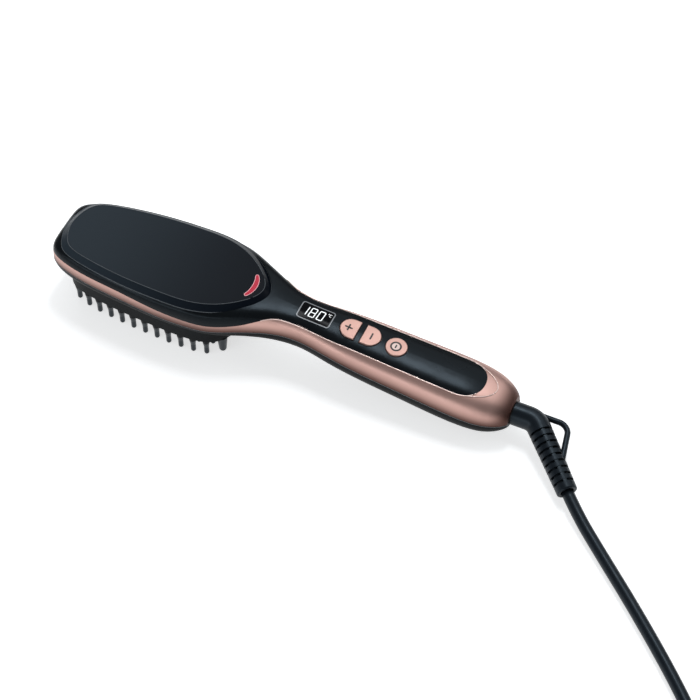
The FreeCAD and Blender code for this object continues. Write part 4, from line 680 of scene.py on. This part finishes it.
def panel_material():
    """Charcoal panel with a painted reflection that makes it lighter towards the tip of the head."""
    shade = colours()
    material = finish_material(
        "Charcoal panel",
        shade.panel_neck,
        scaled(shade.panel_neck, 1.25),
        drift=0.6,
        gloss=(0.20, 0.27, 25.0),
        grain=(3000.0, 0.05, 0.00003),
        specular=0.09,
    )
    tree = material.node_tree
    base = shader_of(material).inputs["Base Color"]
    tone = base.links[0].from_socket
    low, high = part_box("head_cover")
    # Painted reflection, blended in from the neck to the tip
    painted_reflection_to_tip = eased(tree, object_axes(tree)["X"], high[0], low[0])
    tree.links.new(colour_mix(tree, painted_reflection_to_tip, tone, shade.panel_tip_painted_reflection), base)
    return material


# Height over the whole brush, from which a place on its top is looked for

HIGH_Z = 200 * MM

# Search for the lip: room at the middle without one, how far out the trim is tried, and how level it is

MIDDLE_ROOM = 2 * MM
LIP_PROBE = 0.2 * MM
LIP_SLACK = 0.4 * MM

# Search for the line under the trim: how far off its height it may be, and how far out it is tried

PARTING_SLACK = 2 * MM
PARTING_PROBE = 0.3 * MM

# Crest of the heel: half an oval round the end of the insert

CREST_REACH = 30 * MM
CREST_SIDE = 13.6 * MM
CREST_SWEEP = math.radians(76)
CREST_STEPS = 16


class BRUSH_OT_lip(bpy.types.Operator):
    """Sets the lip of the trim beside the insert, the crest of the heel and the line under the trim, as
    beads with painted highlights
    """

    bl_idname = "brush.lip"
    bl_label = "Trim lines"

    def execute(self, context):
        shade = colours()
        size = sizes()
        # Painted highlight for the raised beads of the lip and the crest
        bright = finish_material(
            "Bright lip",
            shade.lip,
            scaled(shade.lip, 0.85),
            drift=0.6,
            gloss=(0.25, 0.33, 80.0),
            grain=(5200.0, 0.10, 0.00003),
            metallic=0.7,
        )
        # Painted highlight for the bead along the parting edge
        parting_highlight = finish_material(
            "Parting line",
            shade.parting,
            scaled(shade.parting, 1.4),
            drift=0.5,
            gloss=(0.25, 0.35, 80.0),
            grain=(2600.0, 0.05, 0.00003),
        )
        lip = edge_line("insert_lip", "trim_frame", beside_insert, size.lip_bead, bright)
        crest = heel_crest(bright)
        for line in (lip, crest):
            line.data.transform(Matrix.Translation((0, 0, size.lip_rise)))
        parting = edge_line("parting_line", "lower_housing", on_parting, size.parting_bead, parting_highlight)
        for piece, finish in ((lip, "rose_gold"), (crest, "rose_gold"), (parting, "black_housing")):
            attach(piece, "housing")
        return {"FINISHED"}


def drop_on(node, x, y):
    """Point of a node straight under a high place, or None."""
    hit, place = NODES[node].ray_cast((x, y, HIGH_Z), (0, 0, -1))[:2]
    return place if hit else None


def beside_insert(low, high):
    """Tells whether an edge of the trim lies on its outer surface, next to the insert."""
    middle = (low + high) / 2
    if middle.x < LIP_START_X:
        return False
    away = Vector((max(middle.x - INSERT_END_X, 0), middle.y, 0))
    if away.length < MIDDLE_ROOM:
        return False
    beyond = middle + away.normalized() * LIP_PROBE
    place = drop_on("trim_frame", beyond.x, beyond.y)
    return place is not None and abs(place.z - middle.z) < LIP_SLACK


def on_parting(low, high):
    """Tells whether an edge of the lower shell is its outer upper edge."""
    middle = (low + high) / 2
    level = PARTING_Z - max(middle.x - GRIP_START_X, 0) * PARTING_FALL
    if abs(middle.z - level) > PARTING_SLACK:
        return False
    outward = Vector((0, math.copysign(1, middle.y), 0))
    start = middle + outward * PARTING_PROBE - Vector((0, 0, PARTING_PROBE))
    return not NODES["lower_housing"].ray_cast(start, outward)[0]


def heel_crest(material):
    """Fine bead with a painted highlight along the crest that the trim has round the end of the insert.
    """
    places = []
    for step in range(-CREST_STEPS, CREST_STEPS + 1):
        angle = CREST_SWEEP * step / CREST_STEPS
        along = INSERT_END_X + CREST_REACH * math.cos(angle)
        where = drop_on("trim_frame", along, CREST_SIDE * math.sin(angle))
        if where is not None:
            places.append(where)
    curve = new_curve("heel_crest")
    spline = curve.splines.new("BEZIER")
    spline.bezier_points.add(len(places) - 1)
    for point, place in zip(spline.bezier_points, places):
        point.co = place
        point.handle_left_type = "AUTO"
        point.handle_right_type = "AUTO"
    return bead(linked("heel_crest", curve), "heel_crest", sizes().crest_bead, material)


# Power sign: dash and disc, as shares of the stroke, of the ring, of the stroke and of the rise

DASH_STROKE_SHARE = 0.9
DASH_LENGTH_SHARE = 0.75
DISC_INSET_SHARE = 1.1
DISC_ROUND_SHARE = 0.3


class BRUSH_OT_keys(bpy.types.Operator):
    """Finishes the keys and sets the signs on them"""

    bl_idname = "brush.keys"
    bl_label = "Keys and signs"

    def execute(self, context):
        shade = colours()
        size = sizes()
        gold = finish_material(
            "Key rose gold",
            shade.key_gold,
            scaled(shade.key_gold, 0.88),
            drift=0.7,
            gloss=(0.34, 0.42, 90.0),
            grain=(5200.0, 0.14, 0.00003),
            metallic=0.85,
        )
        dress(gold, "plus_button", "minus_button", "power_button")
        ink = finish_material(
            "Sign ink",
            shade.sign,
            scaled(shade.sign, 1.5),
            drift=0.5,
            gloss=(0.45, 0.55, 90.0),
            grain=(2600.0, 0.08, 0.00003),
        )
        pale = finish_material(
            "Pale key",
            scaled(shade.lip, 0.68),
            scaled(shade.lip, 0.6),
            drift=0.5,
            gloss=(0.40, 0.50, 90.0),
            grain=(5200.0, 0.1, 0.00003),
            metallic=0.5,
        )
        long, thin, radius = size.sign_length, size.sign_stroke, size.power_ring
        plus = joined("plus_sign", [bar((0, 0), (long, thin)), bar((0, 0), (thin, long))])
        minus = joined("minus_sign", [bar((0, 0), (thin, long))])
        circle = ring_sign(radius, thin)
        dash = bar((0, 0), (thin * DASH_STROKE_SHARE, radius * DASH_LENGTH_SHARE))
        power = joined("power_sign", [circle, dash])
        bpy.ops.object.select_all(action="DESELECT")
        bpy.ops.mesh.primitive_cylinder_add(
            vertices=ROUND_SIDES, radius=radius - thin * DISC_INSET_SHARE, depth=size.print_rise
        )
        disc = joined("power_disc", [context.active_object])
        round_edges(disc, size.print_rise * DISC_ROUND_SHARE, turns=2)
        for piece, key, body, finish, material in (
            (disc, "power_button", "power_key", "rose_gold", pale),
            (plus, "plus_button", "plus_key", "black_housing", ink),
            (minus, "minus_button", "minus_key", "black_housing", ink),
            (power, "power_button", "power_key", "black_housing", ink),
        ):
            coat(piece, material)
            settle(piece, top_of(key))
            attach(piece, body)
        return {"FINISHED"}


def top_of(node):
    """Place at the middle of the sloping top of a piece in the grip."""
    low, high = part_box(node)
    slope = math.tan(GRIP_PITCH)
    middle = (low[0] + high[0]) / 2
    corners = [vertex.co for vertex in NODES[node].data.vertices]
    top = max(corner.z + slope * (corner.x - middle) for corner in corners)
    place = Matrix.Translation((middle, (low[1] + high[1]) / 2, top))
    return place @ Matrix.Rotation(GRIP_PITCH, 4, "Y")


# Digits: their middle on the glass, their lean, and the light that they give off

DIGITS_MIDDLE = -1.9 * MM
DIGIT_LEAN = 0.09
DIGIT_GLOW = 0.5

# Small unit beside the digits, with its places from the cell after the last one

UNIT_STROKE_SHARE = 0.36
UNIT_SIZE = (1.2 * MM, 1.8 * MM)
UNIT_PLACE = (-0.3 * MM, 2.6 * MM)
DEGREE_RADIUS = 0.42 * MM
DEGREE_STROKE_SHARE = 0.7
DEGREE_PLACE = (-1.6 * MM, 3.3 * MM)

# Segments that are lit in a digit, and by how many strokes a flat and an upright one fall short

SEGMENTS = {0: "abcdef", 1: "bc", 8: "abcdefg"}
FLAT_GAP_SHARE = 1.1
STEM_GAP_SHARE = 0.6


class BRUSH_OT_display(bpy.types.Operator):
    """Finishes the display and lights its digits"""

    bl_idname = "brush.display"
    bl_label = "Display"

    def execute(self, context):
        shade = colours()
        size = sizes()
        bezel = finish_material(
            "Bezel grey",
            shade.bezel,
            scaled(shade.bezel, 0.8),
            drift=0.5,
            gloss=(0.30, 0.38, 80.0),
            grain=(2600.0, 0.08, 0.00003),
        )
        dress(bezel, "display_bezel")
        glass = finish_material(
            "Display glass",
            shade.glass,
            scaled(shade.glass, 1.5),
            drift=0.5,
            gloss=(0.07, 0.12, 40.0),
            grain=(900.0, 0.01, 0.00002),
            specular=0.03,
        )
        dress(glass, "display_lens")
        lit = finish_material(
            "Lit digits",
            shade.digits,
            scaled(shade.digits, 0.92),
            drift=0.5,
            gloss=(0.4, 0.5, 90.0),
            grain=(2600.0, 0.03, 0.00003),
        )
        light_up(lit, shade.digits, DIGIT_GLOW)
        bars = []
        for number, cell in ((1, -1), (8, 0), (0, 1)):
            bars += digit(number, DIGITS_MIDDLE + cell * size.digit_pitch)
        after = DIGITS_MIDDLE + 2 * size.digit_pitch
        fine = size.digit_stroke * UNIT_STROKE_SHARE
        bars += letter_c((after + UNIT_PLACE[0], UNIT_PLACE[1]), UNIT_SIZE, fine)
        degree = ring_sign(DEGREE_RADIUS, fine * DEGREE_STROKE_SHARE)
        place = (after + DEGREE_PLACE[0], DEGREE_PLACE[1], 0)
        degree.data.transform(Matrix.Translation(place))
        digits = joined("display_digits", bars + [degree])
        lean = Matrix.Identity(4)
        lean[0][1] = DIGIT_LEAN
        digits.data.transform(lean)
        coat(digits, lit)
        settle(digits, top_of("display_lens"))
        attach(digits, "housing")
        return {"FINISHED"}


def digit(number, middle):
    """Lit bars of one digit with seven segments."""
    size = sizes()
    width, height, stroke = size.digit_width, size.digit_height, size.digit_stroke
    side = width / 2 - stroke / 2
    level = height / 2 - stroke / 2
    flat = (width - FLAT_GAP_SHARE * stroke, stroke)
    stem = (stroke, height / 2 - STEM_GAP_SHARE * stroke)
    where = {
        "a": ((0, level), flat),
        "b": ((side, level / 2), stem),
        "c": ((side, -level / 2), stem),
        "d": ((0, -level), flat),
        "e": ((-side, -level / 2), stem),
        "f": ((-side, level / 2), stem),
        "g": ((0, 0), flat),
    }
    made = []
    for name in SEGMENTS[number]:
        (across, along), extent = where[name]
        made.append(bar((middle + across, along), extent, corner=0.42, turns=1))
    return made


def letter_c(place, extent, stroke):
    """Small C of the temperature unit, from three bars."""
    width, height = extent
    rows = (height / 2 - stroke / 2, stroke / 2 - height / 2)
    made = [bar((place[0], place[1] + row), (width, stroke)) for row in rows]
    made.append(bar((place[0] - width / 2 + stroke / 2, place[1]), (stroke, height)))
    return made


class BRUSH_OT_bristles(bpy.types.Operator):
    """Finishes the bristles, their plate and the nubs"""

    bl_idname = "brush.bristles"
    bl_label = "Bristles"

    def execute(self, context):
        shade = colours()
        black = finish_material(
            "Bristle black",
            shade.bristle,
            scaled(shade.bristle, 1.8),
            drift=0.6,
            gloss=(0.20, 0.27, 120.0),
            grain=(1800.0, 0.08, 0.00004),
            specular=0.42,
            sheen=COOL_SHEEN,
        )
        dress(black, "guard_nubs", *[name for name in NODES if name.startswith("bristle_row")])
        coated = finish_material(
            "Coated plate",
            scaled(shade.bristle, 1.1),
            scaled(shade.bristle, 2.2),
            drift=0.5,
            gloss=(0.34, 0.44, 70.0),
            grain=(2400.0, 0.18, 0.00004),
            metallic=0.1,
            specular=0.04,
        )
        dress(coated, "bristle_plate")
        return {"FINISHED"}


# Finishes of the pieces inside and of the pins, with the nodes that have them

WIRE = dict(drift=0.6, gloss=(0.40, 0.52, 110.0), grain=(1500.0, 0.15, 0.00004))
INSIDE = {
    "Dark nylon": dict(
        colour=(0.03, 0.03, 0.032),
        second=(0.05, 0.05, 0.052),
        drift=0.6,
        gloss=(0.42, 0.52, 60.0),
        grain=(2000.0, 0.15, 0.00004),
        nodes=("swivel_bush", "swivel_core", "contact_block", "display_module", "key_switches"),
    ),
    "Potted block": dict(
        colour=(0.05, 0.045, 0.04),
        second=(0.09, 0.08, 0.07),
        drift=0.7,
        gloss=(0.30, 0.45, 80.0),
        grain=(900.0, 0.2, 0.00006),
        nodes=("ion_generator", "board_components"),
    ),
    "Pale plunger": dict(
        colour=(0.62, 0.60, 0.55),
        second=(0.52, 0.50, 0.46),
        drift=0.6,
        gloss=(0.36, 0.46, 70.0),
        grain=(2200.0, 0.1, 0.00004),
        nodes=("plus_plunger", "minus_plunger", "power_plunger"),
    ),
    "Board laminate": dict(
        colour=(0.012, 0.10, 0.035),
        second=(0.02, 0.16, 0.06),
        drift=0.8,
        gloss=(0.28, 0.40, 150.0),
        grain=(1300.0, 0.2, 0.00005),
        nodes=("control_board",),
    ),
    "Mica sheet": dict(
        colour=(0.52, 0.44, 0.33),
        second=(0.40, 0.32, 0.22),
        drift=0.8,
        gloss=(0.35, 0.55, 120.0),
        grain=(700.0, 0.2, 0.00006),
        nodes=("heater_insulator",),
    ),
    "Heater ceramic": dict(
        colour=(0.36, 0.35, 0.33),
        second=(0.28, 0.27, 0.26),
        drift=0.7,
        gloss=(0.55, 0.70, 90.0),
        grain=(1600.0, 0.25, 0.00006),
        nodes=("ptc_heaters", "thermistor"),
    ),
    "Bright aluminium": dict(
        colour=(0.80, 0.81, 0.82),
        second=(0.68, 0.69, 0.70),
        drift=0.7,
        gloss=(0.24, 0.36, 100.0),
        grain=(2600.0, 0.15, 0.00004),
        metallic=1.0,
        nodes=("heater_clamp", "heat_shield"),
    ),
    "Zinc steel": dict(
        colour=(0.58, 0.58, 0.57),
        second=(0.46, 0.46, 0.45),
        drift=0.7,
        gloss=(0.28, 0.40, 150.0),
        grain=(2400.0, 0.15, 0.00004),
        metallic=1.0,
        nodes=("board_screws", "housing_screws", "plate_screws", "thermal_fuse"),
    ),
    "Nickel": dict(
        colour=(0.66, 0.63, 0.57),
        second=(0.56, 0.53, 0.48),
        drift=0.6,
        gloss=(0.18, 0.28, 150.0),
        grain=(2600.0, 0.1, 0.00003),
        metallic=1.0,
        nodes=("plug_pins",),
    ),
    "Contact brass": dict(
        colour=(0.70, 0.50, 0.22),
        second=(0.60, 0.41, 0.17),
        drift=0.7,
        gloss=(0.24, 0.36, 150.0),
        grain=(2600.0, 0.12, 0.00003),
        metallic=1.0,
        nodes=("contact_rings", "contact_brushes"),
    ),
    "Red wire": dict(
        WIRE, colour=(0.42, 0.03, 0.025), second=(0.32, 0.02, 0.02), nodes=("heater_leads",)
    ),
    "Blue wire": dict(
        WIRE, colour=(0.03, 0.08, 0.34), second=(0.02, 0.06, 0.26), nodes=("mains_leads",)
    ),
    "Lamp lens": dict(
        colour=(0.78, 0.30, 0.30),
        second=(0.70, 0.22, 0.22),
        drift=0.6,
        gloss=(0.10, 0.18, 110.0),
        grain=(1500.0, 0.05, 0.00003),
        nodes=("ion_light",),
    ),
}


class BRUSH_OT_inside(bpy.types.Operator):
    """Finishes the pieces inside the shells and the pins of the plug"""

    bl_idname = "brush.inside"
    bl_label = "Inner pieces"

    def execute(self, context):
        for name, look in INSIDE.items():
            finish = {label: value for label, value in look.items() if label != "nodes"}
            dress(finish_material(name, **finish), *look["nodes"])
        return {"FINISHED"}


# Softboxes: name, place, the point that they face, size and power

SOFTBOXES = (
    ("sky_softbox", (0.14, 1.08, 1.44), (0.05, 0, 0.0), (3.6, 1.5), 17),
    ("crown_softbox", (-0.07, 0.61, 1.60), (0.1, 0, 0.03), (0.26, 0.5), 8),
    ("front_softbox", (-0.45, -1.5, 0.45), (0.02, 0, 0.02), (2.4, 0.42), 9.5),
)
LIGHT_COLOUR = (0.94, 0.975, 1)
SKY_COLOUR = (0.90, 0.96, 1, 1)
SKY_STRENGTH = 0.20
FLOOR_SIZE = 12
FLOOR_Z = -0.2 * MM
FLOOR_GLOW = 0.64

# Camera: its place, its axes to the right, up and back, and its sensor and lens in millimetres

CAMERA_PLACE = (0.3689, -0.7144, 1.0285)
CAMERA_AXES = (
    (0.90946, 0.41580, 0),
    (-0.32835, 0.71818, 0.61351),
    (0.25510, -0.55796, 0.78969),
)
CAMERA_SENSOR = 36
CAMERA_LENS = 113.14


class BRUSH_OT_stage(bpy.types.Operator):
    """Sets the floor, the light and the camera"""

    bl_idname = "brush.stage"
    bl_label = "Studio"

    def execute(self, context):
        scene = context.scene
        bpy.ops.object.select_all(action="DESELECT")
        bpy.ops.mesh.primitive_plane_add(size=FLOOR_SIZE, location=(0, 0, FLOOR_Z))
        floor = context.active_object
        floor.name = "studio_floor"
        floor.data.materials.append(floor_material())
        for light in SOFTBOXES:
            softbox(*light)
        world = bpy.data.worlds.new("studio")
        world.use_nodes = True
        back = world.node_tree.nodes["Background"]
        back.inputs["Color"].default_value = SKY_COLOUR
        back.inputs["Strength"].default_value = SKY_STRENGTH
        scene.world = world
        camera = bpy.data.cameras.new("photo_camera")
        camera.sensor_width = CAMERA_SENSOR
        camera.lens = CAMERA_LENS
        view = linked("photo_camera", camera)
        turn = Matrix(CAMERA_AXES).transposed().to_4x4()
        view.matrix_world = Matrix.Translation(CAMERA_PLACE) @ turn
        scene.camera = view
        scene.view_settings.view_transform = "Standard"
        return {"FINISHED"}


def floor_material():
    """Pale floor that keeps shadows and shows as white behind the object."""
    material = bpy.data.materials.new("Studio floor")
    material.use_nodes = True
    tree = material.node_tree
    tree.nodes.remove(shader_of(material))
    matt = tree.nodes.new("ShaderNodeBsdfDiffuse")
    matt.inputs["Color"].default_value = (*colours().floor, 1)
    glow = tree.nodes.new("ShaderNodeEmission")
    rays = tree.nodes.new("ShaderNodeLightPath").outputs
    seen = math_node(tree, "MAXIMUM", rays["Is Camera Ray"], rays["Is Glossy Ray"])
    seen = math_node(tree, "MAXIMUM", seen, rays["Is Transmission Ray"])
    level = math_node(tree, "MULTIPLY", seen, FLOOR_GLOW)
    tree.links.new(level, glow.inputs["Strength"])
    both = tree.nodes.new("ShaderNodeAddShader")
    tree.links.new(matt.outputs[0], both.inputs[0])
    tree.links.new(glow.outputs[0], both.inputs[1])
    tree.links.new(both.outputs[0], tree.nodes["Material Output"].inputs["Surface"])
    return material


def softbox(name, place, target, size, power):
    """Rectangular area light that faces a point."""
    light = bpy.data.lights.new(name, "AREA")
    light.shape = "RECTANGLE"
    light.size, light.size_y = size
    light.energy = power
    light.color = LIGHT_COLOUR
    lamp = linked(name, light)
    lamp.location = place
    lamp.rotation_euler = (Vector(target) - Vector(place)).to_track_quat("-Z", "Y").to_euler()


# Strain relief: where it leaves the grip, its sleeve, bend and ribs, and the heading of the ribs

RELIEF_X = 145.5 * MM
RELIEF_Z = 14 * MM
RELIEF_SLEEVE = 8.5 * MM
RELIEF_BEND = 11 * MM
RELIEF_RIBS = 42 * MM
RELIEF_DIP = math.radians(8)
RELIEF_SWING = math.radians(46)
RELIEF_HEADING = Vector(
    (
        math.cos(RELIEF_DIP) * math.cos(RELIEF_SWING),
        -math.cos(RELIEF_DIP) * math.sin(RELIEF_SWING),
        -math.sin(RELIEF_DIP),
    )
)

# Collar at the end of the ribs

COLLAR_RADIUS = 4.9 * MM
COLLAR_BEAD = 1.2 * MM
COLLAR_ROUND_SHARE = 0.8

# Coil: two flat layers of turns, with a climb of half a turn between them

COIL_CENTRE = Vector((0.377, -0.145, 0))
COIL_RADIUS = 51.0 * MM
COIL_PITCH = 7.9 * MM
COIL_TURNS = 3
CLIMB_TURNS = 0.5
COIL_LOW = 4.8 * MM
COIL_HIGH = 12.6 * MM
COIL_ENTRY = math.radians(226)
COIL_STEPS = 24
TINY_TURN = 1e-4

# Route of the lead: straight run at the ribs and at the coil, stub of the coil, and the points between

STRAIGHT_RUN = 16 * MM
COIL_STUB = 7.2 * MM
RELIEF_TO_COIL = (
    (0.22301, -0.06281, 0.00375),
    (0.25201, -0.08819, 0.00370),
    (0.28400, -0.11829, 0.00370),
    (0.30699, -0.14300, 0.00400),
)
COIL_TO_PLUG = (
    (0.37700, -0.07850, 0.00960),
    (0.36099, -0.06699, 0.00685),
    (0.34701, -0.05899, 0.00685),
)
CORD_SIDES = 20

class BRUSH_OT_lead(bpy.types.Operator):
    """Lays the mains lead along its route and finishes what is on it"""

    bl_idname = "brush.lead"
    bl_label = "Mains lead"

    def execute(self, context):
        shade = colours()
        rubber = finish_material(
            "Cord rubber",
            shade.rubber,
            scaled(shade.rubber, 1.5),
            drift=0.6,
            gloss=(0.32, 0.42, 90.0),
            grain=(1600.0, 0.10, 0.00004),
            specular=0.26,
            sheen=COOL_SHEEN,
        )
        route = lead_route()
        points = smooth_points(route)
        cord = tube("mains_lead", points, sizes().cord_diameter / 2, rubber)
        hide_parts("cord_lead", "cord_coil", "cord_tail")
        collar = relief_collar(points[0], rubber)
        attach(collar, "cord_swivel")
        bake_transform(cord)
        dress(rubber, "strain_relief", "hanging_loop", "plug_body", "coil_tie")
        return {"FINISHED"}


def relief_collar(place, material):
    """Rounded collar round the lead, square to its heading."""
    square = ring(COLLAR_RADIUS + COLLAR_BEAD, 2 * COLLAR_BEAD, 2 * COLLAR_BEAD)
    collar = joined("relief_collar", [square])
    round_edges(collar, COLLAR_BEAD * COLLAR_ROUND_SHARE, turns=4)
    bpy.ops.object.shade_smooth()
    turn = RELIEF_HEADING.to_track_quat("Z", "Y").to_matrix().to_4x4()
    settle(collar, Matrix.Translation(place) @ turn)
    coat(collar, material)
    return collar


def coil_point(turns):
    """Point of the coil after so many turns: in on the floor, up, and out again on top."""
    inner = COIL_RADIUS - COIL_TURNS * COIL_PITCH
    climb = (turns - COIL_TURNS) / CLIMB_TURNS
    if climb <= 0:
        radius, height = COIL_RADIUS - COIL_PITCH * turns, COIL_LOW
    elif climb < 1:
        radius = inner + COIL_PITCH * CLIMB_TURNS * (climb * climb - climb)
        height = COIL_LOW + (COIL_HIGH - COIL_LOW) * climb * climb * (3 - 2 * climb)
    else:
        radius, height = inner + COIL_PITCH * (turns - COIL_TURNS - CLIMB_TURNS), COIL_HIGH
    angle = COIL_ENTRY + 2 * math.pi * turns
    return COIL_CENTRE + Vector((radius * math.cos(angle), radius * math.sin(angle), height))


def lead_route():
    """Points of the mains lead, from the strain relief to the plug."""
    half_bend = Vector((1, 0, 0)).angle(RELIEF_HEADING) / 2
    bend_reach = RELIEF_BEND * math.tan(half_bend)
    bend_corner = Vector((RELIEF_X + RELIEF_SLEEVE + bend_reach, 0, RELIEF_Z))
    relief_end = bend_corner + RELIEF_HEADING * (bend_reach + RELIEF_RIBS)
    total = 2 * COIL_TURNS + CLIMB_TURNS
    entry = (coil_point(TINY_TURN) - coil_point(0)).normalized()
    leaving = (coil_point(total) - coil_point(total - TINY_TURN)).normalized()
    coil_start = coil_point(0) - entry * COIL_STUB
    coil_end = coil_point(total) + leaving * COIL_STUB
    steps = int(total * COIL_STEPS)
    return [
        relief_end,
        relief_end + RELIEF_HEADING * STRAIGHT_RUN,
        *[Vector(point) for point in RELIEF_TO_COIL],
        coil_start - entry * STRAIGHT_RUN,
        coil_start,
        *[coil_point(total * step / steps) for step in range(steps + 1)],
        coil_end,
        coil_end + leaving * STRAIGHT_RUN,
        *[Vector(point) for point in COIL_TO_PLUG],
    ]


def smooth_points(route):
    """Points read from a NURBS spline that has the route's points as its control points."""
    curve = new_curve("lead_route")
    spline = curve.splines.new("NURBS")
    spline.points.add(len(route) - 1)
    for point, place in zip(spline.points, route):
        point.co = (*place, 1)
    spline.order_u = 3
    spline.use_endpoint_u = True
    guide = linked("lead_route", curve)
    bpy.context.view_layer.update()
    line = bpy.data.meshes.new_from_object(guide)
    points = [vertex.co.copy() for vertex in line.vertices]
    bpy.data.meshes.remove(line)
    bpy.data.objects.remove(guide)
    bpy.data.curves.remove(curve)
    return points


def tube(name, points, radius, material):
    """Closed round tube along points."""
    mesh = bmesh.new()
    heading = (points[1] - points[0]).normalized()
    across = heading.orthogonal().normalized()
    turns = [2 * math.pi * side / CORD_SIDES for side in range(CORD_SIDES)]
    rounds = [(radius * math.cos(turn), radius * math.sin(turn)) for turn in turns]
    rings = []
    for index, point in enumerate(points):
        before = points[max(index - 1, 0)]
        after = points[min(index + 1, len(points) - 1)]
        heading = (after - before).normalized()
        across = (across - heading * across.dot(heading)).normalized()
        over = heading.cross(across)
        rings.append([mesh.verts.new(point + across * x + over * y) for x, y in rounds])
    for lower, upper in zip(rings, rings[1:]):
        for side in range(CORD_SIDES):
            step = (side + 1) % CORD_SIDES
            face = mesh.faces.new((lower[side], lower[step], upper[step], upper[side]))
            face.smooth = True
    mesh.faces.new(list(reversed(rings[0])))
    mesh.faces.new(rings[-1])
    made = bpy.data.meshes.new(name)
    mesh.to_mesh(made)
    mesh.free()
    made.materials.append(material)
    return linked(name, made)


class BRUSH_PT_panel(bpy.types.Panel):
    """Lists the steps in the sidebar"""

    bl_idname = "BRUSH_PT_panel"
    bl_label = "Hair Straightening Brush"
    bl_space_type = "VIEW_3D"
    bl_region_type = "UI"
    bl_category = "Brush"

    def draw(self, context):
        for step in STEPS:
            self.layout.operator(step.bl_idname)
        for group in (context.scene.brush_sizes, context.scene.brush_colours):
            for name in group.bl_rna.properties.keys():
                if name not in ("rna_type", "name"):
                    self.layout.prop(group, name)


STEPS = (
    BRUSH_OT_stage,
    BRUSH_OT_lead,
    BRUSH_OT_shells,
    BRUSH_OT_cover,
    BRUSH_OT_lip,
    BRUSH_OT_keys,
    BRUSH_OT_display,
    BRUSH_OT_bristles,
    BRUSH_OT_inside,
)
CLASSES = (BrushSizes, BrushColours, *STEPS, BRUSH_PT_panel)


def register():
    for item in CLASSES:
        bpy.utils.register_class(item)
    bpy.types.Scene.brush_sizes = bpy.props.PointerProperty(type=BrushSizes)
    bpy.types.Scene.brush_colours = bpy.props.PointerProperty(type=BrushColours)


def unregister():
    del bpy.types.Scene.brush_sizes
    del bpy.types.Scene.brush_colours
    for item in reversed(CLASSES):
        bpy.utils.unregister_class(item)


def main():
    register()
    bpy.ops.brush.stage()
    bpy.ops.brush.lead()
    bpy.ops.brush.shells()
    bpy.ops.brush.cover()
    bpy.ops.brush.lip()
    bpy.ops.brush.keys()
    bpy.ops.brush.display()
    bpy.ops.brush.bristles()
    bpy.ops.brush.inside()


if __name__ == "__main__":
    main()
